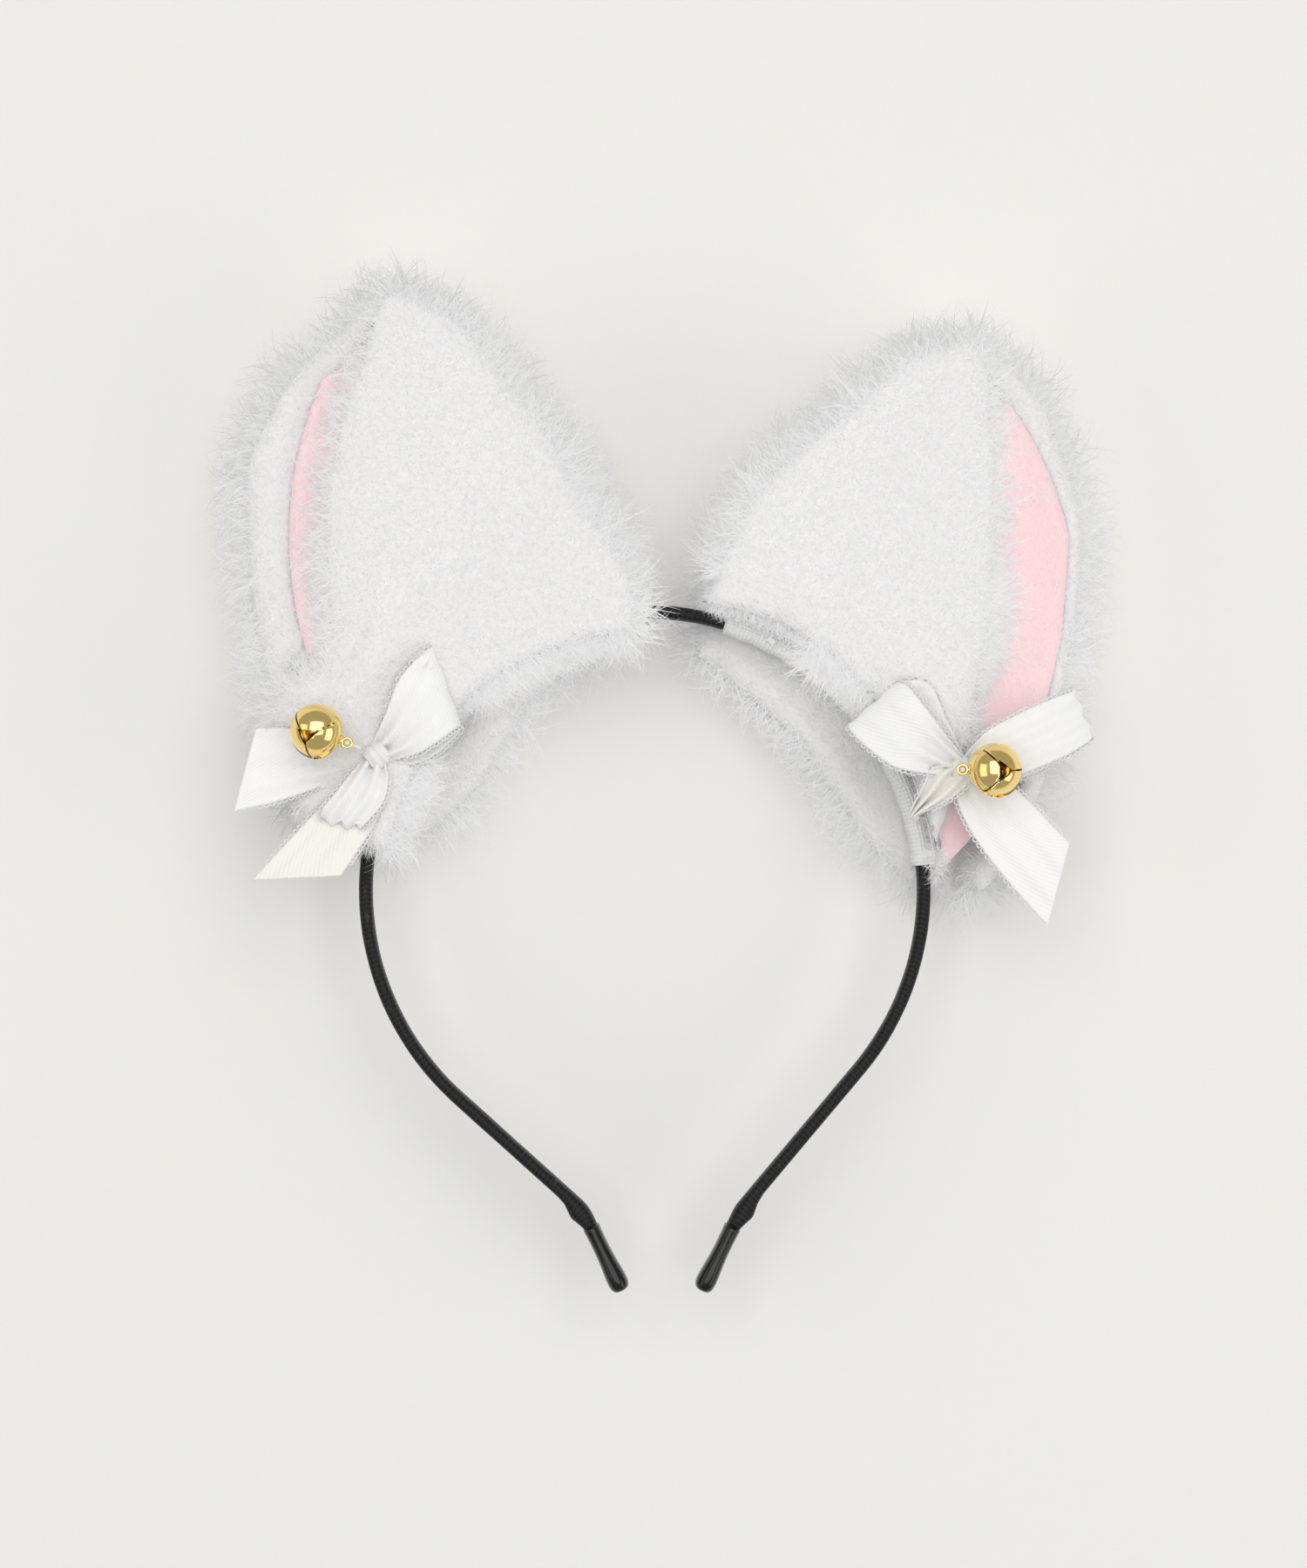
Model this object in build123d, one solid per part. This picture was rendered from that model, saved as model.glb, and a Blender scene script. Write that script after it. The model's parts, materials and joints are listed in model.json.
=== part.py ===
"""Animal ears headband: a sprung band in a black tape cover, two plush ears on elastic
casings, and a ribbon bow with a jingle bell at the foot of each ear.

Millimetres. Worn upright: +X to the wearer's left, +Y to the back, +Z up.
The origin is on the inner face of the band at the crown, where it rests on the head.
"""
from build123d import *
import os
from math import cos, radians, sin, sqrt

os.makedirs("parts", exist_ok=True)

# ---- band -------------------------------------------------------------------------------
band_radius = 64.0            # centreline of the sprung strip over the head
core_thickness = 1.4
core_width = 6.0
cover_wall = 0.8              # wrapped tape cover around the strip
core_play = 0.05              # strip to cover, all round
crown_half_angle = 4.0        # the stretch that rests on the head
arm_cut_gap = 0.02            # crown to arm at the cut

# ---- lower ends of the arms, one value per side -----------------------------------------
arc_end = {"left": 138.0, "right": 130.0}         # degrees from the crown
run_length = {"left": 38.5, "right": 42.0}        # straight stretch towards the cap
tip_turn = {"left": 22.0, "right": 14.0}          # outward kink at the cap, degrees
tip_turn_radius = 9.0
cap_length = 16.0
cap_mouth = (7.8, 3.6)        # width, thickness
cap_bulb = (8.8, 4.9)
cap_end_round = 2.2
cap_grip = 11.0               # how far the strip goes into the cap
tuck_length = 9.0             # folded and glued end of the tape, beside the cap
tuck_height = {"left": 1.6, "right": 2.2}

# ---- knitted elastic casings ------------------------------------------------------------
casing_start = {"left": 7.0, "right": 16.7}       # degrees from the crown
casing_span = {"left": 70.0, "right": 68.0}
casing_wall = 0.8
casing_play = 0.35            # casing to cover, so that it slides

# ---- ears -------------------------------------------------------------------------------
panel_thickness = 9.0         # backing cloth with the dense part of its pile
panel_spread = 6.5            # from the band's middle plane to each panel
rim_width = 5.0               # turned-in edge that joins the two panels
rim_band_gap = 9.0            # opening in the rim where the band passes
outline_round = 6.0
# Outline in the ear's own frame: u along the band towards the crown, v outwards.
ear_outline = {
    "left": [(46, -10), (54, 25), (57, 58), (50, 78), (20, 79), (-4, 70), (-22, 47),
             (-40, 17), (-48, 2), (-38, -21), (-14, -22), (14, -15), (38, -21)],
    "right": [(44, -10), (56, 12), (57, 58), (50, 76), (30, 78), (2, 68), (-18, 49),
              (-38, 23), (-47, 3), (-50, -15), (-32, -18), (12, -17), (39, -22)],
}
# Open side of the pocket: edge of the front panel and inner edge of the rim, as arcs.
front_edge = {"left": [(34, 73), (1, 51), (-19, 26)], "right": [(36, 68), (5, 44), (-37, -9)]}
rim_edge = {"left": [(31, 75), (-3, 57), (-22, 29)], "right": [(35, 70), (-5, 57), (-42, -3)]}
beyond_edge = {
    "left": [(-60, 30), (-60, -60), (90, -60), (90, 100)],
    "right": [(-60, -60), (90, -60), (90, 100)],
}
lining_thickness = 2.0
lining_depth = 1.3            # front of the lining behind the band's middle plane, forwards
lining_tuck = 6.0             # hidden behind the front panel
stay_section = (1.2, 2.5)     # flat boning that keeps the ear's outline
soft_gap = 0.3                # between pieces that only lie beside each other
tack_size = (2.0, 1.2)        # stitches that hang the ear on its casing
tack_gap = 0.45

# ---- ribbon bows ------------------------------------------------------------------------
ribbon_width = 16.0
ribbon_thickness = 0.4
loop_height = 4.0
knot_radius = 3.7
knot_place = {"left": (-24.0, -0.5), "right": (-24.0, 9.0)}      # in the ear's frame
# name: (direction in degrees from +X, length from the middle of the knot)
bow_loops = {
    "left": {"upper": (45.0, 21.5), "lower": (-122.0, 16.0)},
    "right": {"upper": (157.0, 24.0), "side": (23.0, 27.5)},
}
bow_tails = {
    "left": {"side": (187.0, 31.0), "lower": (-124.0, 34.0)},
    "right": {"lower": (-50.0, 34.0), "side": (-138.0, 18.0)},
}
gather_half_width = 3.0       # ribbon where it enters the knot
gather_length = 6.0

# ---- jingle bells -----------------------------------------------------------------------
bell_diameter = 12.0
bell_wall = 0.5
bell_slot = 1.2
bell_slot_reach = 78.0        # degrees from the pole to the round end of each slot
bell_hole = 2.6
pellet_diameter = 4.5
pellet_play = 0.35
thread_diameter = 0.7
thread_play = 0.3
shank_wire = 0.8
bell_offset = {"left": (157.5, 13.9), "right": (0.0, 6.6)}       # from the knot: degrees, mm
bell_gap = 0.5                # bell to knot, fore and aft

# ---- derived ----------------------------------------------------------------------------
cover_thickness = core_thickness + 2 * (core_play + cover_wall)
cover_width = core_width + 2 * (core_play + cover_wall)
casing_thickness = cover_thickness + 2 * (casing_play + casing_wall)
casing_width = cover_width + 2 * (casing_play + casing_wall)
centre_z = cover_thickness / 2 - band_radius
panel_front = -(panel_spread + panel_thickness)
tail_front = panel_front - soft_gap
tail_step = ribbon_thickness + soft_gap
loop_back = tail_front - 2 * tail_step
loop_middle = loop_back - loop_height / 2
knot_front = loop_back - loop_height - soft_gap
shank_radius = thread_diameter / 2 + thread_play + shank_wire / 2
shank_reach = bell_diameter / 2 + shank_radius + shank_wire / 2 - 0.1
bell_y = knot_front - bell_gap - bell_diameter / 2
sign = {"left": -1, "right": 1}


def band_point(side, angle, radius=band_radius):
    """Point (x, z) of the band at an angle from the crown."""
    return (sign[side] * radius * sin(radians(angle)), centre_z + radius * cos(radians(angle)))


def ear_angle(side):
    """Angle of the middle of an ear's casing."""
    return casing_start[side] + casing_span[side] / 2


def ear_point(side, u, v):
    """Point (x, z) given in an ear's own frame."""
    a = radians(ear_angle(side))
    x, z = band_point(side, ear_angle(side))
    return (x + sign[side] * (v * sin(a) - u * cos(a)), z + v * cos(a) + u * sin(a))


def at(point, y):
    """Location of a point (x, z) at a depth y."""
    return (point[0], y, point[1])


def slab(face, front, back):
    """Flat piece between two depths, from a face drawn in x and z."""
    return extrude(Plane.XZ.offset(-back) * face, amount=back - front)


def save(name, *solids):
    """Write one named piece, or a group of alike ones."""
    shape = solids[0] if len(solids) == 1 else Compound(children=list(solids))
    export_step(shape, "parts/" + name + ".step")


def sign_angle(side, angle):
    """Angle from +X, anticlockwise, of a place on the band."""
    return 90 - sign[side] * angle


# ---- band -------------------------------------------------------------------------------
def band_arc(side, start, end):
    """Arc of the band's centreline between two angles from the crown."""
    points = [at(band_point(side, a), 0) for a in (start, (start + end) / 2, end)]
    return ThreePointArc(*points)


def heading(side, angle):
    """Unit vector at an angle below the horizontal, pointing inwards and down."""
    return Vector(-sign[side] * cos(radians(angle)), 0, -sin(radians(angle)))


def arm_line(side, start, tip_reach):
    """Centreline of an arm from an angle near the crown to a reach into the cap."""
    run_angle = 180 - arc_end[side]
    arc = band_arc(side, start, arc_end[side])
    begin = Vector(*at(band_point(side, arc_end[side]), 0))
    corner = begin + heading(side, run_angle) * run_length[side]
    end = corner + heading(side, run_angle + tip_turn[side]) * (tip_turn_radius / 2 + tip_reach)
    return Wire([arc] + FilletPolyline(begin, corner, end, radius=tip_turn_radius).edges())


def tip_plane(side):
    """Plane across the band at the mouth of the cap, looking along the tip."""
    run_angle = 180 - arc_end[side]
    begin = Vector(*at(band_point(side, arc_end[side]), 0))
    corner = begin + heading(side, run_angle) * run_length[side]
    along = heading(side, run_angle + tip_turn[side])
    return Plane(corner + along * tip_turn_radius / 2, x_dir=(0, 1, 0), z_dir=along)


def strip(line, width, thickness, corner):
    """Flat strip swept along a line, with rounded long edges."""
    start = Plane(line @ 0, x_dir=(0, 1, 0), z_dir=line % 0)
    return sweep(start * RectangleRounded(width, thickness, corner), path=line)


def core(line):
    return strip(line, core_width, core_thickness, core_thickness * 0.3)


def cover(line):
    bore = strip(line, core_width + 2 * core_play, core_thickness + 2 * core_play, 0.45)
    return strip(line, cover_width, cover_thickness, cover_thickness * 0.4) - bore


def end_cap(side):
    """Dipped rubber cap, swelling to a bulb and open at its mouth for the strip."""
    mouth = tip_plane(side)
    levels = [(0, cap_mouth), (cap_length * 0.45, cap_mouth), (cap_length * 0.75, cap_bulb)]
    levels.append((cap_length, cap_bulb))
    faces = [mouth.offset(z) * RectangleRounded(w, t, t * 0.42) for z, (w, t) in levels]
    cap = loft(faces[:2], ruled=True) + loft(faces[1:3], ruled=True) + loft(faces[2:], ruled=True)
    end = cap.faces().sort_by_distance(mouth.offset(cap_length).origin)[0]
    cap = fillet(end.edges(), cap_end_round)
    bore = RectangleRounded(core_width + 2 * core_play, core_thickness + 2 * core_play, 0.45)
    return cap - extrude(mouth * bore, amount=cap_grip + 0.3)


def cover_tuck(side):
    """Folded end of the tape, glued down on the outer face just above the cap."""
    run_angle = 180 - arc_end[side]
    along = heading(side, run_angle)
    out = Vector(-along.Z * sign[side], 0, along.X * sign[side])
    corner = Vector(*at(band_point(side, arc_end[side]), 0)) + along * run_length[side]
    height = tuck_height[side]
    middle = corner - along * (tuck_length / 2 + tip_turn_radius / 2)
    middle = middle + out * (cover_thickness + height) / 2
    place = Plane(middle, x_dir=along, z_dir=out)
    tuck = place * Box(tuck_length, core_width, height)
    return fillet(tuck.edges().group_by(Axis(middle, out))[-1], height * 0.45)


def arm(side):
    start = crown_half_angle + arm_cut_gap
    full = arm_line(side, start, cap_grip)
    save(side + "_arm_core", core(full))
    save(side + "_arm_cover", cover(arm_line(side, start, 0)))
    save(side + "_cover_tuck", cover_tuck(side))
    save(side + "_end_cap", end_cap(side))


def crown():
    points = [band_point("left", crown_half_angle), band_point("left", 0)]
    points.append(band_point("right", crown_half_angle))
    line = Wire([ThreePointArc(*[at(p, 0) for p in points])])
    save("crown_core", core(line))
    save("crown_cover", cover(line))


def casing(side):
    """Knitted tube around the covered band, open at both ends."""
    line = Wire([band_arc(side, casing_start[side], casing_start[side] + casing_span[side])])
    bore_width = cover_width + 2 * casing_play
    bore_thickness = cover_thickness + 2 * casing_play
    bore = strip(line, bore_width, bore_thickness, bore_thickness * 0.4)
    save(side + "_casing", strip(line, casing_width, casing_thickness, 1.6) - bore)


# ---- ears -------------------------------------------------------------------------------
def outline(side, inset=0.0):
    points = [ear_point(side, *p) for p in ear_outline[side]]
    face = make_face(FilletPolyline(*points, radius=outline_round, close=True))
    return offset(face, -inset) if inset else face


def edge_arc(side, points, shift=0.0):
    """Arc through three points of the ear's frame, moved towards the middle of the ear."""
    moved = [ear_point(side, u + 0.63 * shift, v - 0.77 * shift) for u, v in points]
    return ThreePointArc(*moved), moved


def inner_side(side, edge, clear=0.0):
    """Everything on the crown side of an edge arc, or of that arc moved inwards."""
    arc, moved = edge_arc(side, edge[side], clear)
    far = [ear_point(side, *p) for p in beyond_edge[side]]
    return make_face([arc.edge()] + Polyline(moved[-1], *far, moved[0]).edges())


def band_region(inner, outer):
    centre = Pos(0, centre_z)
    ring = centre * Circle(outer)
    return ring - centre * Circle(inner) if inner else ring


def ear(side):
    band_pass = band_region(band_radius - rim_band_gap, band_radius + rim_band_gap)
    whole = outline(side)
    interior = outline(side, rim_width) & inner_side(side, rim_edge)
    rim = whole - interior - band_pass
    back = slab(whole, panel_spread, panel_spread + panel_thickness)
    back = back + slab(rim, -panel_spread, panel_spread)
    save(side + "_ear_back", back)
    front = slab(whole & inner_side(side, front_edge), panel_front, -panel_spread)
    save(side + "_ear_front", front)
    save(side + "_ear_lining", lining(side))
    save(side + "_ear_stay", stay(side))
    save(side + "_ear_tacks", *tacks(side))


def lining(side):
    """Velvet lining that shows in the open side of the pocket."""
    inner, inner_points = edge_arc(side, front_edge[side], lining_tuck)
    outer, outer_points = edge_arc(side, rim_edge[side], soft_gap)
    ends = [Line(inner_points[-1], outer_points[-1]), Line(outer_points[0], inner_points[0])]
    face = make_face([inner.edge(), outer.edge()] + [line.edge() for line in ends])
    face = face & outline(side, rim_width + soft_gap)
    face = face - band_region(0, band_radius + rim_band_gap)
    return slab(face, -lining_depth - lining_thickness, -lining_depth)


def stay(side):
    """Flat boning inside the rim, from the foot of the ear round its tip."""
    thickness, width = stay_section
    outer = rim_width + soft_gap
    face = outline(side, outer) - outline(side, outer + thickness)
    face = face & inner_side(side, rim_edge, 2 * soft_gap)
    face = face - band_region(0, band_radius + rim_band_gap + soft_gap)
    solid = slab(face, panel_spread - soft_gap - width, panel_spread - soft_gap)
    return solid.solids().sort_by(SortBy.VOLUME)[-1]


def tack_angle(side):
    """Angle each side of the ear's middle where the tilt axis crosses the band."""
    half = radians(casing_span[side] / 2)
    level = (1 + cos(half)) / 2
    return Vector(1, 0).get_angle(Vector(level, sqrt(1 - level * level)))


def tacks(side):
    """Stitches between the casing and each panel, on the tilt axis."""
    length = panel_spread - casing_width / 2 - tack_gap
    middle = panel_spread - length / 2
    solids = []
    for step in (-1, 1):
        angle = ear_angle(side) + step * tack_angle(side)
        x, z = band_point(side, angle)
        chord = sign_angle(side, ear_angle(side)) + 90
        for y in (-middle, middle):
            stitch = Box(tack_size[0], tack_size[1], length)
            place = Plane((x, y, z), x_dir=(cos(radians(chord)), 0, sin(radians(chord))),
                          z_dir=(0, 1, 0))
            solids.append(place * stitch)
    return solids


# ---- bows -------------------------------------------------------------------------------
def knot_point(side):
    return ear_point(side, *knot_place[side])


def ribbon_plan(side, direction, length):
    """Outline of a ribbon seen from the front, gathered where it enters the knot."""
    start = knot_radius + soft_gap
    half = ribbon_width / 2
    wide = start + gather_length
    shape = [(start, -gather_half_width), (wide, -half), (length, -half), (length, half),
             (wide, half), (start, gather_half_width)]
    c, s = cos(radians(direction)), sin(radians(direction))
    kx, kz = knot_point(side)
    points = [(kx + c * a - s * b, kz + s * a + c * b) for a, b in shape]
    return make_face(Polyline(*points, close=True))


def ribbon_loop(side, direction, length):
    """Flattened ring of ribbon standing out from the knot."""
    plan = slab(ribbon_plan(side, direction, length), knot_front - 1, panel_front)
    long = length - knot_radius - soft_gap
    middle = length - long / 2
    c, s = cos(radians(direction)), sin(radians(direction))
    kx, kz = knot_point(side)
    across = Plane((kx + c * middle, loop_middle, kz + s * middle), x_dir=(c, 0, s),
                   z_dir=(-s, 0, c))
    wall = 2 * ribbon_thickness
    ring = SlotOverall(long, loop_height) - SlotOverall(long - wall, loop_height - wall)
    return extrude(across * ring, amount=ribbon_width / 2, both=True) & plan


def bow(side):
    for name, (direction, length) in bow_loops[side].items():
        save(side + "_bow_loop_" + name, ribbon_loop(side, direction, length))
    for level, (name, (direction, length)) in enumerate(bow_tails[side].items()):
        back = tail_front - level * tail_step
        tail = slab(ribbon_plan(side, direction, length), back - ribbon_thickness, back)
        save(side + "_bow_tail_" + name, tail)
    knot = slab(Pos(*knot_point(side)) * Circle(knot_radius), knot_front, tail_front)
    rounded = fillet(knot.edges().group_by(Axis.Y)[0], 1.4)
    save(side + "_bow_knot", rounded)


# ---- bells ------------------------------------------------------------------------------
def bell_points(side):
    """Middle of the bell and of its shank's eye, in x and z."""
    direction, distance = bell_offset[side]
    c, s = cos(radians(direction)), sin(radians(direction))
    kx, kz = knot_point(side)
    eye = distance - shank_reach
    return (kx + c * distance, kz + s * distance), (kx + c * eye, kz + s * eye), eye


def bell(side):
    """Round bell with crossed slots that end in holes, its shank, pellet and thread."""
    direction, _ = bell_offset[side]
    middle, eye, reach = bell_points(side)
    out = Vector(cos(radians(direction)), 0, sin(radians(direction)))
    radius = bell_diameter / 2
    frame = Plane(at(middle, bell_y), x_dir=(0, -1, 0), z_dir=out)
    shell = Sphere(radius) - Sphere(radius - bell_wall)
    for turn in (0, 90):
        slot = Rot(0, 0, turn) * slot_cutter(radius)
        shell = shell - slot
    save(side + "_bell_shell", frame * shell)

    ring = Plane(at(eye, bell_y), z_dir=(0, 1, 0)) * Torus(shank_radius, shank_wire / 2)
    foot = Plane(at(eye, bell_y), z_dir=out) * Pos(0, 0, shank_radius) * Cylinder(
        shank_wire / 2, shank_wire * 2, align=(Align.CENTER, Align.CENTER, Align.MIN))
    ball = Pos(*at(middle, bell_y)) * Sphere(radius)
    save(side + "_bell_shank", (ring + foot) - ball)

    drop = radius - bell_wall - pellet_diameter / 2 - pellet_play
    pellet = Pos(middle[0], bell_y, middle[1] - drop) * Sphere(pellet_diameter / 2)
    save(side + "_bell_pellet", pellet)
    save(side + "_bell_thread", thread(side, eye, reach))


def slot_cutter(radius):
    """One slot across the pole at +Z, with a round hole at each end."""
    reach = radians(bell_slot_reach)
    depth = radius * (1 - cos(reach))
    cutter = Pos(0, 0, radius - depth / 2 + 0.5) * Box(2.2 * radius, bell_slot, depth + 1)
    for step in (-1, 1):
        hole = Rot(0, step * bell_slot_reach, 0) * Pos(0, 0, radius) * Cylinder(bell_hole / 2, 4)
        cutter = cutter + hole
    return cutter


def thread(side, eye, reach):
    """Sewing thread from the knot through the shank's eye, ending in a small knot."""
    end = bell_y - shank_wire
    start = knot_front if reach < knot_radius else knot_front + thread_diameter
    pin = slab(Pos(*eye) * Circle(thread_diameter / 2), end, start)
    stop = Pos(*at(eye, end)) * Sphere(thread_diameter * 0.8)
    shape = pin + stop
    if reach > knot_radius:
        kx, kz = knot_point(side)
        a = Vector(kx, kz)
        b = Vector(*eye)
        stitch = make_face(offset(Line(a, b), thread_diameter / 2))
        bar = slab(stitch, knot_front, knot_front + thread_diameter)
        bar = bar - slab(Pos(kx, kz) * Circle(knot_radius + 0.02), knot_front - 1, panel_front)
        shape = shape + bar
    return shape


crown()
for side in ("left", "right"):
    arm(side)
    casing(side)
    ear(side)
    bow(side)
    bell(side)
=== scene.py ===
"""Animal ears headband: plush ears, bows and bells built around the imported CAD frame."""
import json
import math

import bmesh
import bpy
from bpy.props import FloatProperty, FloatVectorProperty, IntProperty, PointerProperty
from mathutils.bvhtree import BVHTree
from mathutils import Matrix, Vector, noise


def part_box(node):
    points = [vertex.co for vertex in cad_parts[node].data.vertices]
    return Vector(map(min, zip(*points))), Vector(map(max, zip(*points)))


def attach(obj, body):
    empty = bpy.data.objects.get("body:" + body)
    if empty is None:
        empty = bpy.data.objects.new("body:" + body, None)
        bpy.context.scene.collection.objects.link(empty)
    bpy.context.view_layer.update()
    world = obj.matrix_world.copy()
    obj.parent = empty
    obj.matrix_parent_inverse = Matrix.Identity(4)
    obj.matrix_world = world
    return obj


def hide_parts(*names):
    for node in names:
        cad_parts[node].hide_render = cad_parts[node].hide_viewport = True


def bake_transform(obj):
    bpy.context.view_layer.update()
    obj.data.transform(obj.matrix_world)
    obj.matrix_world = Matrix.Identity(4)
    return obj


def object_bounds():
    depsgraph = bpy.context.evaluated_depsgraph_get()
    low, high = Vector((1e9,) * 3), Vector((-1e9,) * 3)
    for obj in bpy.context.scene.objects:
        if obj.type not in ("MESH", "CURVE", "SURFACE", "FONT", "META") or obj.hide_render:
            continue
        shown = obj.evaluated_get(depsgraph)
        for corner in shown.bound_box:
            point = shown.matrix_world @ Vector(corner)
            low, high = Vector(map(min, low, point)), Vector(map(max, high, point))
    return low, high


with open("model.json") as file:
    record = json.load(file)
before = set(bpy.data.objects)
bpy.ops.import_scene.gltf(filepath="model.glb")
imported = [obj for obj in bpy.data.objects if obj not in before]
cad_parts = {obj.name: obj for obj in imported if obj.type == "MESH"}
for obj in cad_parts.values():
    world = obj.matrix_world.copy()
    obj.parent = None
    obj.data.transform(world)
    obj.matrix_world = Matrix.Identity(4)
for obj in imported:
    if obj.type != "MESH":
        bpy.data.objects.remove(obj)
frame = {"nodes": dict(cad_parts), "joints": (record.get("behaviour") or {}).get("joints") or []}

bl_info = {
    "name": "Animal Ears Headband",
    "version": (1, 0, 0),
    "blender": (4, 5, 0),
    "location": "3D View > Sidebar > Headband",
    "description": "Builds the plush ears, band, bows, bells and studio of the headband",
    "category": "Add Mesh",
}

MM = 0.001
CAD_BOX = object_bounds()
SIDES = ("left", "right")
SIGN = {"left": -1, "right": 1}
JOINTS = {joint["name"]: joint for joint in frame["joints"]}
ARC_CENTRE = Vector(JOINTS["left_ear_slide"]["pos_m"])
COVER_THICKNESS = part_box("crown_cover")[1].z
BAND_RADIUS = COVER_THICKNESS / 2 - ARC_CENTRE.z


# ---------------------------------------------------------------------------- shader maths
class Value:
    """A shader output that takes part in Python expressions."""

    def __init__(self, tree, socket):
        self.tree, self.socket = tree, socket

    def maths(self, operation, other, swap=False):
        values = (other, self) if swap else (self, other)
        node = self.tree.add("ShaderNodeMath", {"operation": operation}, dict(enumerate(values)))
        return node[0]

    def __add__(self, other):
        return self.maths("ADD", other)

    def __sub__(self, other):
        return self.maths("SUBTRACT", other)

    def __rsub__(self, other):
        return self.maths("SUBTRACT", other, True)

    def __mul__(self, other):
        return self.maths("MULTIPLY", other)

    def at_least(self, other):
        return self.maths("MAXIMUM", other)

    def wave(self):
        return self.maths("SINE", 0.0)

    __radd__ = __add__
    __rmul__ = __mul__


class Added:
    """A node just added, whose outputs are read by name or number as values."""

    def __init__(self, tree, node):
        self.tree, self.node = tree, node

    def __getitem__(self, key):
        return Value(self.tree, self.node.outputs[key])


class Finish:
    """A material with one Principled shader, filled in by node expressions."""

    def __init__(self, name, colour, **uniform):
        self.material = bpy.data.materials.new(name)
        self.material.use_nodes = True
        self.material.diffuse_color = (*colour, 1.0)
        self.nodes = self.material.node_tree.nodes
        self.shader = self.nodes["Principled BSDF"]
        self.shader.inputs["Base Color"].default_value = (*colour, 1.0)
        for key, value in uniform.items():
            self.shader.inputs[key.replace("_", " ").title()].default_value = value

    def add(self, kind, settings=None, inputs=None):
        node = self.nodes.new(kind)
        for key, value in (settings or {}).items():
            setattr(node, key, value)
        for key, value in (inputs or {}).items():
            self.set(node.inputs[key], value)
        return Added(self, node)

    def set(self, socket, value):
        if isinstance(value, Value):
            self.material.node_tree.links.new(value.socket, socket)
        else:
            socket.default_value = value

    def feed(self, name, value):
        self.set(self.shader.inputs[name], value)

    def close(self, colour, roughness, height=None, depth=0.0, strength=1.0):
        """Feed the finish's colour, roughness and relief, and give its material."""
        self.feed("Base Color", colour)
        self.feed("Roughness", roughness)
        if height:
            self.bump(height, depth, strength)
        return self.material

    def place(self):
        return self.add("ShaderNodeTexCoord")["Object"]

    def noise(self, scale, detail=3.0, vector=None, stretch=None):
        vector = vector or self.place()
        if stretch:
            vector = self.add("ShaderNodeMapping", None, {"Vector": vector, "Scale": stretch})[0]
        node = self.add("ShaderNodeTexNoise", None,
                        {"Vector": vector, "Scale": scale, "Detail": detail})
        return node["Fac"]

    def blend(self, factor, first, second):
        node = self.add("ShaderNodeMix", {"data_type": "RGBA"}, {0: factor})
        for index, colour in ((6, first), (7, second)):
            self.set(node.node.inputs[index], colour if isinstance(colour, Value) else (*colour, 1))
        return Value(self, node.node.outputs[2])

    def bump(self, height, distance, strength=1.0):
        node = self.add("ShaderNodeBump", None,
                        {"Height": height, "Distance": distance, "Strength": strength})
        self.feed("Normal", node["Normal"])

    def uv(self, name):
        node = self.add("ShaderNodeUVMap", {"uv_map": name})["UV"]
        split = self.add("ShaderNodeSeparateXYZ", None, {0: node})
        return split["X"], split["Y"]


# --------------------------------------------------------------------------------- finishes
def fur_finish():
    """Long white pile: light grey at the root as painted shade deep in the pile, near white at the
    tip.
    """
    finish = Finish("White pile", (0.93, 0.94, 0.95), sheen_weight=0.25, sheen_roughness=0.5)
    along = finish.uv("OFBake")[1]
    # Grey at the root is painted shade where the strands crowd together; the coat casts no shadows.
    tint = finish.blend(along, colours().fur_root_shade, colours().fur_tip)
    finish.shader.inputs["Specular IOR Level"].default_value = 0.25
    return finish.close(tint, 0.85 - along * 0.2)


def backing_finish():
    """Short underfur on the backing cloth, seen only between the strands."""
    finish = Finish("White underfur", (0.9, 0.91, 0.93), sheen_weight=0.3)
    mottle = finish.noise(240, 5, stretch=(1.0, 1.0, 0.6))
    colour = finish.blend(mottle, (0.8, 0.795, 0.8), (0.875, 0.865, 0.87))
    return finish.close(colour, 0.8 + mottle * 0.15, finish.noise(900, 3), 0.0006)


def velvet_finish():
    """Pink short-pile velvet with brushed patches."""
    pale, deep = colours().lining, colours().lining_deep
    finish = Finish("Pink velvet", pale, sheen_weight=0.45, sheen_roughness=0.35)
    brushed = finish.noise(55, 4, stretch=(1.0, 1.0, 0.35))
    nap = finish.noise(1400, 2)
    colour = finish.blend(brushed * 0.75 + nap * 0.25, deep, pale)
    return finish.close(colour, 0.75 + nap * 0.2, nap + brushed * 0.6, 0.0004, 0.6)


def satin_finish(name, tint):
    """White satin ribbon: fine ribs across its width and a soft warp sheen."""
    finish = Finish(name, tint, sheen_weight=0.1, coat_roughness=0.35)
    across, along = finish.uv("Weave")
    ribs = (across * 7700.0 + along * 3300.0).wave() * 0.5 + 0.5
    warp = finish.noise(900, 2, stretch=(1.0, 1.0, 0.1))
    cloud = finish.noise(90, 2)
    pale = [min(1.0, c * 1.04) for c in tint]
    deep = [c * 0.93 for c in tint]
    colour = finish.blend(cloud * 0.6 + ribs * 0.4, deep, pale)
    return finish.close(colour, 0.26 + ribs * 0.12 + warp * 0.1, ribs + warp * 0.5, 0.00007, 0.5)


def knit_finish():
    """White knitted elastic: rows of small stitches along and across the tube."""
    finish = Finish("White knitted elastic", (0.9, 0.9, 0.88), sheen_weight=0.1)
    across, along = finish.uv("Weave")
    rows = (along * 6600.0).wave() * 0.5 + 0.5
    wales = (across * 7600.0 + rows * 1.4).wave() * 0.5 + 0.5
    stitch = rows * 0.55 + wales * 0.45
    colour = finish.blend(stitch, (0.8, 0.81, 0.8), (0.95, 0.95, 0.94))
    return finish.close(colour, 0.9 - stitch * 0.25, stitch, 0.0003, 0.9)


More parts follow.
